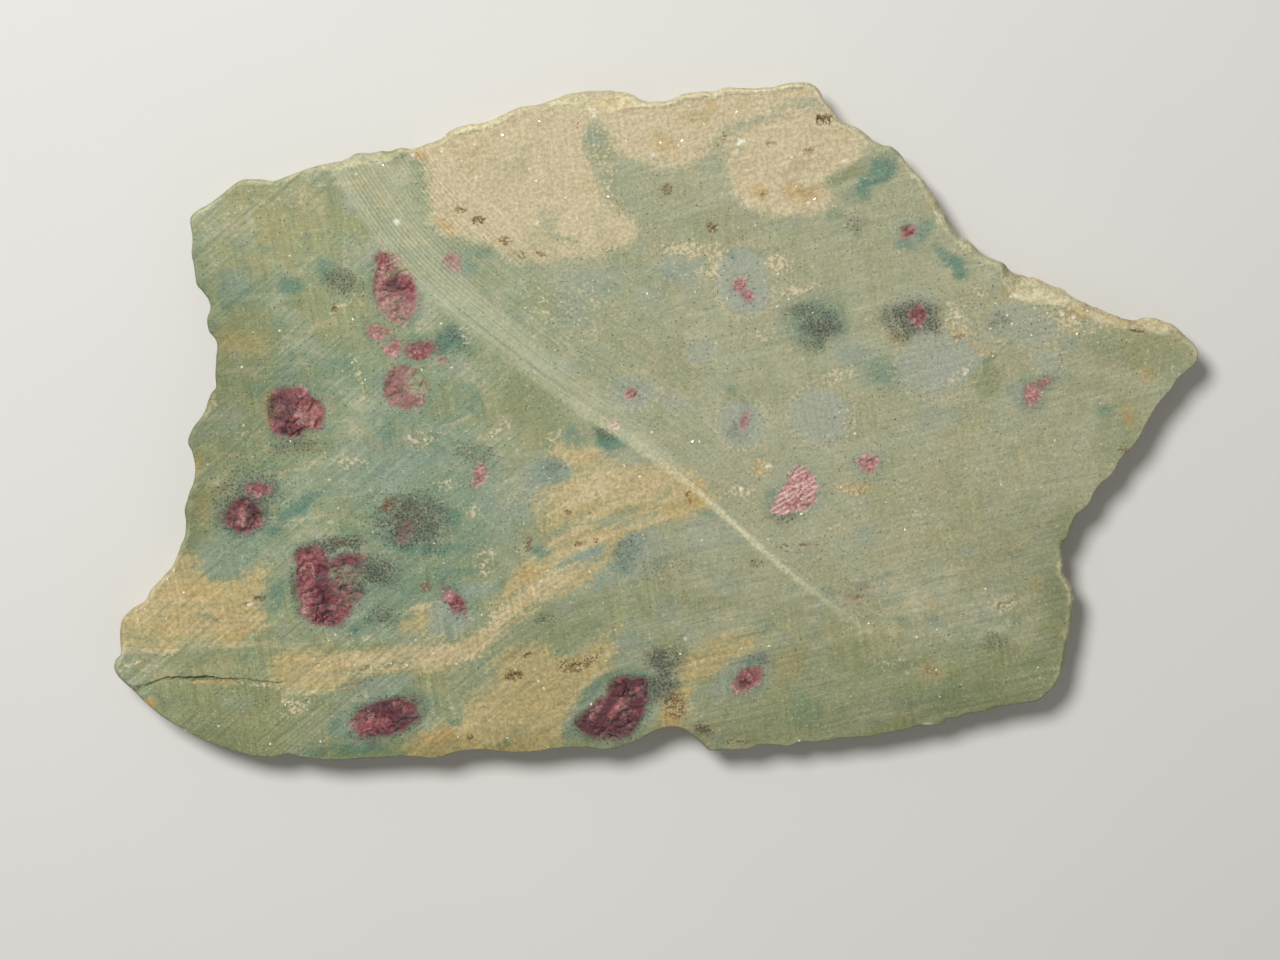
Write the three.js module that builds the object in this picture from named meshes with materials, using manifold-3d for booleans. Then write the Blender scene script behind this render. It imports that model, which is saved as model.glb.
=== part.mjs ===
// Ruby in fuchsite slab: one slice of rock, sawn flat on both faces, with its rim left as it broke.
// Millimetres, +Z up. The slab lies on its plain sawn face, and the face with the saw step looks up.
// The origin is under the middle of the slab's box, on the surface that it rests on.
import * as THREE from 'three';
import { mergeVertices } from 'three/addons/utils/BufferGeometryUtils.js';
import Module from 'manifold-3d';

const slabThickness = 6.5;
const sawAllowance = 3;         // raw stone above the upper face, taken off by the saw planes

// The rim, clockwise seen from above: x and y of its outermost line, then the width of the broken
// shoulder between that line and the edge of the upper sawn face.
const leftRim = [
  [-61.0, -34.6, 0.3], [-62.6, -33.1, 0.4], [-63.7, -32.1, 0.5], [-65.1, -30.75, 0.5],
  [-65.6, -29.8, 0.5], [-65.4, -28.6, 0.5], [-64.8, -27.9, 0.4], [-64.75, -25.9, 0.5],
  [-64.6, -23.9, 0.5], [-64.0, -22.9, 0.5], [-63.0, -22.05, 0.5], [-61.7, -21.2, 0.4],
  [-60.9, -20.0, 0.4], [-59.7, -18.6, 0.4], [-57.95, -16.5, 0.4], [-57.3, -14.8, 0.35],
  [-56.6, -13.0, 0.35], [-56.5, -11.4, 0.3], [-56.65, -9.9, 0.3], [-55.9, -8.0, 0.3],
  [-55.4, -6.2, 0.3], [-55.3, -4.8, 0.3], [-55.6, -3.4, 0.3], [-56.05, -2.2, 0.3],
  [-55.5, -0.5, 0.3], [-54.5, 1.1, 0.4], [-53.8, 2.5, 0.5], [-53.3, 3.9, 0.4],
  [-52.65, 4.6, 0.3], [-52.75, 6.0, 0.3], [-52.5, 8.5, 0.3], [-52.6, 10.3, 0.3],
  [-53.3, 11.4, 0.3], [-53.6, 12.7, 0.35], [-53.2, 14.3, 0.3], [-54.0, 16.1, 0.25],
  [-54.7, 16.9, 0.25], [-55.0, 19.0, 0.25], [-55.3, 20.7, 0.25], [-55.15, 22.6, 0.25],
];
const topRim = [
  [-55.4, 24.7, 0.35], [-54.6, 25.8, 0.35], [-53.4, 26.4, 0.3], [-51.5, 27.8, 0.3],
  [-49.4, 29.3, 0.3], [-47.6, 29.55, 0.3], [-45.2, 29.35, 0.25], [-43.2, 30.1, 0.3],
  [-41.7, 30.6, 0.3], [-39.5, 31.2, 0.4], [-37.2, 31.6, 0.9], [-35.2, 32.5, 1.2],
  [-33.8, 32.5, 1.1], [-32.7, 32.75, 1.2], [-31.6, 32.7, 0.8], [-30.2, 33.1, 0.3],
  [-28.6, 33.1, 0.35], [-27.0, 33.7, 0.5], [-25.7, 34.1, 0.5], [-24.5, 35.2, 0.5],
  [-22.4, 35.9, 0.6], [-20.5, 36.15, 0.5], [-18.2, 36.9, 0.5], [-15.8, 38.1, 0.5],
  [-14.1, 38.2, 0.6], [-12.2, 38.9, 0.7], [-9.9, 39.6, 1.2], [-8.0, 39.85, 2.2],
  [-4.7, 39.8, 2.2], [-2.4, 39.3, 1.3], [-0.8, 38.55, 0.5], [0.9, 38.65, 0.4],
  [3.2, 39.4, 0.4], [5.2, 39.8, 0.4], [7.1, 39.9, 0.5], [8.7, 40.35, 0.4],
  [10.8, 40.2, 0.4], [13.2, 40.25, 0.4], [16.3, 40.85, 0.4], [18.0, 40.85, 0.5],
];
const upperRightRim = [
  [19.3, 40.2, 0.4], [20.0, 39.0, 0.3], [21.0, 37.7, 0.3], [22.0, 36.3, 0.4],
  [23.3, 35.8, 0.6], [24.7, 35.0, 0.6], [25.9, 34.0, 0.6], [27.1, 33.4, 0.5],
  [28.0, 33.35, 0.4], [30.2, 31.1, 0.4], [32.3, 28.9, 0.5], [34.1, 26.0, 0.8],
  [35.2, 24.3, 0.8], [36.1, 22.9, 0.7], [37.5, 22.2, 1.0], [39.0, 20.8, 0.9],
  [40.2, 20.1, 0.5], [41.7, 19.4, 0.6], [42.7, 18.4, 1.6], [44.2, 17.9, 2.7],
  [46.0, 17.45, 2.7], [47.4, 16.8, 2.2], [49.0, 16.1, 1.8], [50.2, 15.2, 1.2],
  [51.7, 14.7, 1.2], [53.9, 13.6, 1.1], [55.4, 13.2, 1.0], [57.1, 12.6, 0.9],
  [58.9, 13.0, 1.4], [60.3, 12.75, 1.4], [61.9, 12.2, 1.0], [63.2, 11.1, 0.5],
];
const rightRim = [
  [65.1, 9.0, 0.3], [64.9, 7.9, 0.2], [63.9, 6.6, 0.2], [62.6, 5.5, 0.25],
  [61.8, 4.2, 0.2], [60.5, 2.7, 0.2], [59.0, 0.0, 0.2], [57.8, -2.0, 0.2],
  [55.9, -4.3, 0.2], [55.1, -5.8, 0.25], [53.6, -7.1, 0.25], [52.8, -8.6, 0.3],
  [52.0, -9.95, 0.3], [50.8, -10.9, 0.3], [50.2, -12.3, 0.3], [49.9, -13.5, 0.3],
  [49.15, -14.6, 0.45], [49.4, -16.2, 0.4], [49.2, -17.5, 0.4], [50.0, -18.8, 0.5],
  [50.7, -19.9, 0.6], [50.8, -21.2, 0.6], [50.4, -24.3, 0.5], [49.9, -27.0, 0.5],
  [49.3, -30.1, 0.4], [48.5, -31.7, 0.3], [46.6, -33.5, 0.3],
];
const bottomRim = [
  [44.6, -34.0, 0.2], [41.3, -34.4, 0.2], [40.2, -34.9, 0.2], [37.4, -35.3, 0.2],
  [36.7, -35.75, 0.2], [35.5, -35.85, 0.2], [34.9, -36.4, 0.2], [32.0, -36.8, 0.2],
  [29.1, -37.4, 0.2], [26.2, -37.95, 0.2], [23.0, -38.2, 0.2], [20.4, -38.7, 0.2],
  [18.0, -38.7, 0.2], [16.2, -39.2, 0.2], [14.6, -39.05, 0.2], [12.4, -39.1, 0.2],
  [11.6, -39.5, 0.2], [8.3, -39.7, 0.2], [6.6, -39.7, 0.25], [5.7, -38.9, 0.25],
  [4.6, -37.9, 0.25], [3.6, -37.1, 0.25], [2.3, -36.85, 0.25], [0.9, -37.05, 0.25],
  [-0.6, -37.7, 0.25], [-2.4, -38.65, 0.25], [-4.3, -39.3, 0.2], [-6.1, -39.65, 0.2],
  [-8.7, -39.35, 0.2], [-11.6, -39.5, 0.2], [-14.0, -39.8, 0.2], [-17.2, -40.05, 0.2],
  [-20.3, -39.75, 0.2], [-24.0, -39.9, 0.2], [-26.5, -40.6, 0.2], [-30.4, -40.45, 0.2],
  [-34.8, -40.75, 0.2], [-39.0, -40.95, 0.2], [-42.3, -40.7, 0.2], [-44.2, -40.3, 0.2],
  [-46.4, -40.6, 0.2], [-49.0, -40.35, 0.2], [-51.7, -39.6, 0.2], [-55.0, -38.3, 0.2],
  [-58.3, -36.55, 0.25],
];
const rimPoints = [...leftRim, ...topRim, ...upperRightRim, ...rightRim, ...bottomRim];

// Saw step in the upper face: x and y of its crest, then the width of the slope beyond it.
// The face past the slope is a second saw plane, which drops away from the end of the crest.
const stepCrest = [
  [-43.0, 38.0, 9.0], [-36.5, 27.0, 8.0], [-32.0, 20.5, 6.5], [-26.5, 14.8, 5.0],
  [-21.5, 10.6, 4.5], [-15.0, 5.6, 3.6], [-8.0, 0.9, 2.8], [-1.0, -3.6, 2.0],
  [4.5, -7.9, 0.9], [9.5, -12.3, 0.6], [16.0, -18.0, 0.6], [22.5, -23.0, 0.6],
  [28.0, -27.0, 0.6], [34.0, -31.4, 0.6],
];
const stepSections = 40;
const stepEnd = new THREE.Vector2(28.0, -27.0);
const alongStep = new THREE.Vector2(-0.757, 0.653);
const acrossStep = new THREE.Vector2(0.653, 0.757);
const stepFall = 0.0085;      // drop of the second plane for each millimetre from the crest's end
const cutterReach = 130;      // how far a cutter runs past the slab
const cutterHeight = 8;       // how far a cutter stands above the upper face

// Pits where soft grains were plucked out: x, y, the two half widths, and the depth.
const pits = [
  [19.5, 36.3, 0.55, 0.6, 0.6], [20.8, 36.6, 0.6, 0.55, 0.6], [-23.2, 25.7, 0.7, 0.4, 0.45],
  [-21.0, 24.6, 0.75, 0.45, 0.5], [-17.8, 22.2, 0.8, 0.5, 0.4], [18.2, 32.5, 0.9, 0.6, 0.4],
  [12.8, 27.5, 0.6, 0.5, 0.35], [13.9, 33.4, 0.8, 0.45, 0.3], [57.4, 11.7, 0.9, 0.55, 0.5],
  [-47.8, -21.0, 0.9, 0.5, 0.45], [-49.3, -21.6, 0.6, 0.35, 0.4], [-17.0, -30.5, 0.8, 0.6, 0.45],
  [-15.3, -27.9, 0.7, 0.4, 0.35], [-9.4, -29.3, 1.4, 0.6, 0.4], [1.8, -33.6, 0.6, 0.8, 0.45],
  [-38.1, 14.0, 0.5, 0.4, 0.3], [42.0, -21.7, 1.0, 0.6, 0.35], [7.2, 23.7, 0.5, 0.5, 0.3],
];

// Open crack near the left corner: x, y, the width at the face, and the depth.
const crack = [
  [-63.3, -31.8, 0.1, 0.15], [-61.6, -31.6, 0.3, 0.4], [-59.6, -30.75, 0.3, 0.4],
  [-57.6, -30.6, 0.35, 0.6], [-55.8, -30.7, 0.5, 0.8], [-54.3, -30.55, 0.4, 0.7],
  [-52.2, -30.75, 0.3, 0.5], [-49.5, -30.85, 0.2, 0.3], [-45.8, -31.25, 0.2, 0.25],
  [-44.2, -31.2, 0.1, 0.15],
];

// Levels of the broken wall, from under the slab upwards: the share of the way from the rest
// surface to the outermost line, and how far the wall is drawn in there.
const wallLevels = [
  { share: 0.0, inset: 0.6 }, { share: 0.1, inset: 0.25 }, { share: 0.27, inset: 0.3 },
  { share: 0.45, inset: 0.45 }, { share: 0.62, inset: 0.4 }, { share: 0.82, inset: 0.15 },
];
const wallRoughness = 0.8;      // depth of the hollows between the lumps of the wall
const lumpSize = 3.6;           // distance between those lumps
const ledgeDepth = 0.45;        // how far the wall steps in under a ledge
const ledgeSpacing = 8.0;       // distance round the rim over which a ledge rises and falls
const outlineRoughness = 0.2;   // fine waver of the outermost line
const outlineGrain = 1.6;       // distance between the waver's bumps
const rimStations = 385;        // even stations round the rim

const colour = 0x9aa183;

const wasm = await Module();
wasm.setup();

function lattice(i, j, k) {
  const wave = Math.sin(i * 127.1 + j * 311.7 + k * 74.7) * 43758.5453;
  return wave - Math.floor(wave);
}

// Smooth noise from 0 to 1 over a lattice one unit wide.
function noise(x, y, z) {
  const corner = [Math.floor(x), Math.floor(y), Math.floor(z)];
  const blend = [x - corner[0], y - corner[1], z - corner[2]].map((t) => t * t * (3 - 2 * t));
  let sum = 0;
  for (let n = 0; n < 8; n += 1) {
    const step = [n & 1, (n >> 1) & 1, (n >> 2) & 1];
    const weight = step.reduce((w, s, axis) => w * (s ? blend[axis] : 1 - blend[axis]), 1);
    sum += weight * lattice(corner[0] + step[0], corner[1] + step[1], corner[2] + step[2]);
  }
  return sum;
}

// Height of the second saw plane at a point.
function lowerPlane(x, y) {
  const fromEnd = alongStep.x * (x - stepEnd.x) + alongStep.y * (y - stepEnd.y);
  return slabThickness - stepFall * fromEnd;
}

// True beyond the crest, on the side of the second plane.
function pastCrest(x, y) {
  const along = alongStep.x * x + alongStep.y * y;
  const across = acrossStep.x * x + acrossStep.y * y;
  for (let n = 1; n < stepCrest.length; n += 1) {
    const near = new THREE.Vector2(stepCrest[n - 1][0], stepCrest[n - 1][1]);
    const far = new THREE.Vector2(stepCrest[n][0], stepCrest[n][1]);
    const t = (near.dot(alongStep) - along) / (near.dot(alongStep) - far.dot(alongStep));
    if (t >= 0 && t <= 1) {
      return across > THREE.MathUtils.lerp(near.dot(acrossStep), far.dot(acrossStep), t);
    }
  }
  return false;
}

// Height of the finished upper face near a point, without the slope's own shape.
function faceHeight(x, y) {
  return pastCrest(x, y) ? Math.min(slabThickness, lowerPlane(x, y)) : slabThickness;
}

// Even stations round the rim, anticlockwise, each with its outward direction and its shoulder.
function rimLine() {
  // the shoulder travels as the curve's third coordinate, so it is interpolated with the outline
  const corners = rimPoints.map(([x, y, shoulder]) => new THREE.Vector3(x, y, shoulder)).reverse();
  const curve = new THREE.CatmullRomCurve3(corners, true, 'centripetal');
  const points = curve.getSpacedPoints(rimStations).slice(0, rimStations);
  return points.map((point, n) => {
    const before = points[(n + rimStations - 1) % rimStations];
    const after = points[(n + 1) % rimStations];
    const outward = new THREE.Vector2(after.y - before.y, before.x - after.x).normalize();
    const waver = outlineRoughness * (noise(point.x / outlineGrain, point.y / outlineGrain, 0) - 0.5);
    return {
      x: point.x + outward.x * waver,
      y: point.y + outward.y * waver,
      outward,
      shoulder: Math.max(0.15, point.z),
    };
  });
}

// The slab's wall at one station, from the rest surface to the raw top that the saw takes off.
function wallProfile(station) {
  const { x, y, outward, shoulder } = station;
  const face = faceHeight(x, y);
  const bendDepth = 0.25 + 0.3 * shoulder;            // where the shoulder turns down
  const widest = face - bendDepth - 0.3 - 0.65 * shoulder;
  const rise = 0.6 * bendDepth;                       // how far the shoulder runs on above the face
  const ledge = widest * (0.1 + 0.8 * noise(x / ledgeSpacing, y / ledgeSpacing, 5));
  const profile = wallLevels.map(({ share, inset }) => {
    const z = widest * share;
    const lumps = noise(x / lumpSize + 7, y / lumpSize, z / lumpSize);
    const chips = noise(x / outlineGrain, y / outlineGrain, z / outlineGrain);
    const under = z < ledge ? ledgeDepth : 0;
    return { z, inset: inset + under + wallRoughness * (0.7 * lumps + 0.3 * chips - 0.2) };
  });
  const aboveFace = shoulder * (1 + 0.58 * (rise / bendDepth));
  profile.push({ z: widest, inset: 0 });
  profile.push({ z: face - bendDepth, inset: shoulder * 0.42 });
  profile.push({ z: face + rise, inset: aboveFace });
  profile.push({ z: slabThickness + sawAllowance, inset: aboveFace });
  return profile.map(({ z, inset }) => new THREE.Vector3(x - outward.x * inset, y - outward.y * inset, z));
}

// A closed skin through rings of points that all have the same count, with flat or near-flat ends.
function loftRings(rings) {
  const count = rings[0].length;
  const positions = rings.flat().flatMap((point) => [point.x, point.y, point.z]);
  const faces = [];
  for (let level = 1; level < rings.length; level += 1) {
    for (let n = 0; n < count; n += 1) {
      const next = (n + 1) % count;
      const low = (level - 1) * count;
      const high = level * count;
      faces.push(low + n, low + next, high + next);
      faces.push(low + n, high + next, high + n);
    }
  }
  const topStart = (rings.length - 1) * count;
  THREE.ShapeUtils.triangulateShape(rings[0], []).forEach(([a, b, c]) => faces.push(a, c, b));
  THREE.ShapeUtils.triangulateShape(rings.at(-1), []).forEach(([a, b, c]) => {
    faces.push(topStart + a, topStart + b, topStart + c);
  });
  const geometry = new THREE.BufferGeometry();
  geometry.setAttribute('position', new THREE.Float32BufferAttribute(positions, 3));
  geometry.setIndex(faces);
  return geometry;
}

// A closed bar through cross-sections that all have the same corners, as fans at its two ends.
function loftSections(sections) {
  const corners = sections[0].length;
  const positions = sections.flat().flatMap((point) => [point.x, point.y, point.z]);
  const faces = [];
  for (let n = 1; n < sections.length; n += 1) {
    for (let c = 0; c < corners; c += 1) {
      const here = (n - 1) * corners;
      const there = n * corners;
      const next = (c + 1) % corners;
      faces.push(here + c, there + c, there + next);
      faces.push(here + c, there + next, here + next);
    }
  }
  const last = (sections.length - 1) * corners;
  for (let c = 2; c < corners; c += 1) {
    faces.push(0, c - 1, c);
    faces.push(last, last + c, last + c - 1);
  }
  const geometry = new THREE.BufferGeometry();
  geometry.setAttribute('position', new THREE.Float32BufferAttribute(positions, 3));
  geometry.setIndex(faces);
  return geometry;
}

function solidOf(geometry) {
  const bare = geometry.clone();
  bare.deleteAttribute('normal');
  bare.deleteAttribute('uv');
  const merged = mergeVertices(bare, 1e-5);
  return new wasm.Manifold(new wasm.Mesh({
    numProp: 3,
    vertProperties: new Float32Array(merged.attributes.position.array),
    triVerts: new Uint32Array(merged.index.array),
  }));
}

function roughSlab() {
  const profiles = rimLine().map(wallProfile);
  const rings = profiles[0].map((_, level) => profiles.map((profile) => profile[level]));
  return solidOf(loftRings(rings));
}

// Everything above the first saw plane.
function facePlaneCutter() {
  const block = new THREE.BoxGeometry(2 * cutterReach, 2 * cutterReach, cutterHeight);
  block.translate(0, 0, slabThickness + cutterHeight / 2);
  return solidOf(block);
}

// Everything above the slope and the second saw plane.
function stepCutter() {
  const roof = slabThickness + cutterHeight;
  const crest = new THREE.CatmullRomCurve3(stepCrest.map(([x, y, width]) => new THREE.Vector3(x, y, width)));
  const sections = crest.getSpacedPoints(stepSections).map(({ x, y, z: width }) => {
    const foot = new THREE.Vector2(x, y).addScaledVector(acrossStep, width);
    const drop = slabThickness - lowerPlane(foot.x, foot.y);
    const start = new THREE.Vector2(x, y).addScaledVector(acrossStep, -0.5 * width);
    const far = foot.clone().addScaledVector(acrossStep, cutterReach);
    return [
      new THREE.Vector3(start.x, start.y, roof),
      new THREE.Vector3(far.x, far.y, roof),
      new THREE.Vector3(far.x, far.y, lowerPlane(far.x, far.y)),
      new THREE.Vector3(foot.x, foot.y, slabThickness - drop),
      new THREE.Vector3(start.x, start.y, slabThickness + 0.5 * Math.abs(drop)),
    ];
  });
  return solidOf(loftSections(sections));
}

// An angular dimple sunk into the upper face.
function pitCutter([x, y, halfX, halfY, depth], index) {
  const grain = new THREE.IcosahedronGeometry(1, 1);
  grain.rotateZ(index);
  grain.scale(halfX, halfY, depth);
  grain.translate(x, y, faceHeight(x, y));
  return solidOf(grain);
}

// A thin wedge along the crack.
function crackCutter() {
  const above = 0.3;
  const sections = crack.map(([x, y, width, depth], n) => {
    const before = crack[Math.max(0, n - 1)];
    const after = crack[Math.min(crack.length - 1, n + 1)];
    const side = new THREE.Vector2(before[1] - after[1], after[0] - before[0]).normalize();
    const half = 0.5 * width * (1 + above / depth);
    return [
      new THREE.Vector3(x + side.x * half, y + side.y * half, slabThickness + above),
      new THREE.Vector3(x, y, slabThickness - depth),
      new THREE.Vector3(x - side.x * half, y - side.y * half, slabThickness + above),
    ];
  });
  return solidOf(loftSections(sections));
}

function slabGeometry() {
  const cutters = [facePlaneCutter(), stepCutter(), crackCutter(), ...pits.map(pitCutter)];
  const solid = cutters.reduce((stone, cutter) => stone.subtract(cutter), roughSlab());
  const { numProp, vertProperties, triVerts } = solid.getMesh();
  const geometry = new THREE.BufferGeometry();
  geometry.setAttribute('position', new THREE.BufferAttribute(new Float32Array(vertProperties), numProp));
  geometry.setIndex(Array.from(triVerts));
  geometry.computeBoundingBox();
  const middle = geometry.boundingBox.getCenter(new THREE.Vector3());
  geometry.translate(-middle.x, -middle.y, -geometry.boundingBox.min.z);
  geometry.computeVertexNormals();
  return geometry;
}

const stone = new THREE.MeshStandardMaterial({
  color: colour, roughness: 0.85, metalness: 0, flatShading: true,
});
const slab = new THREE.Mesh(slabGeometry(), stone);
slab.name = 'slab';

const specimen = new THREE.Group();
specimen.add(slab);

export default specimen;
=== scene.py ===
# Ruby in fuchsite slab: one slice of green mica rock with ruby knots and cream feldspar, sawn flat
# on both faces, with its rim left as it broke. The shape is worked out in millimetres, in the
# outline's own frame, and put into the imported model's frame in metres when the mesh is made.
import math

import bpy
import numpy as np
from mathutils import Matrix, Vector
from mathutils.geometry import delaunay_2d_cdt


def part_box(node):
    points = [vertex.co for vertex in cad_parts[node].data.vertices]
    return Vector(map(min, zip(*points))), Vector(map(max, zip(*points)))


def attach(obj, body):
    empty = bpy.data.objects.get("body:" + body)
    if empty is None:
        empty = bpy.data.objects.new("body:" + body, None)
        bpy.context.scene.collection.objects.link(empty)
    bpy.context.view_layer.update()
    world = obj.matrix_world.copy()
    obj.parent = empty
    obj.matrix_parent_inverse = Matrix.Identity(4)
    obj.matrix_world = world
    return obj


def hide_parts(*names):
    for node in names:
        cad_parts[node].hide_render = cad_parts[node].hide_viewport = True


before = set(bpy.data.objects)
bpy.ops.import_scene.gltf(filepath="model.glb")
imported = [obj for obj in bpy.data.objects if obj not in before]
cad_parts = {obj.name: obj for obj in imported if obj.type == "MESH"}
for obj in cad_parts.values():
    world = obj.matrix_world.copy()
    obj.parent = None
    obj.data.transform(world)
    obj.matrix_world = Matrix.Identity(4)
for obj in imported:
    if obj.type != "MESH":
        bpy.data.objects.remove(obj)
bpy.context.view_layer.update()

metre = 0.001                     # one millimetre, in the scene's units


slabShape = {
    "thickness": 6.5,
    "stepFall": 0.0085,           # drop of the second saw plane per millimetre from the crest's end
    "stepEnd": (28.0, -27.0),
    "alongStep": (-0.757, 0.653),
    "acrossStep": (0.653, 0.757),
    "wallRoughness": 0.8,         # hollows between the lumps of the broken wall
    "lumpSize": 3.6,
    "ledgeDepth": 0.45,
    "ledgeSpacing": 8.0,
    "outlineRoughness": 0.2,
    "outlineGrain": 1.6,
    "rimPitch": 0.345,            # distance between the rim's stations
    "facePitch": 0.39,            # distance between points of the upper face
    "finePitch": 0.21,            # the same on the rubies and the crest
    "pitPitch": 0.14,             # the same in pits and along the crack
    "undersidePitch": 1.05,
    "fieldPitch": 0.8,            # distance between points of the cream outlines
    "linePitch": 0.5,             # the same of the ruby outlines, the crest and the layers
    "pitMargin": 0.25,            # width around a pit that is meshed as finely as the pit
    "crackMargin": 0.42,
    "crestFrom": -2.0,            # part of the crest, along x, that is meshed finely
    "crestTo": 27.0,
    "veinLean": (0.14, -0.22),    # sideways run of the veins for each millimetre down
    "veinWander": 0.9,
    "sharpEdge": 48.0,            # degrees
    "clearance": 0.002,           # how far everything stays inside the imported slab's box
}
sawnFace, brokenWall, underside = range(3)                     # what a face of the mesh is

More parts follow.
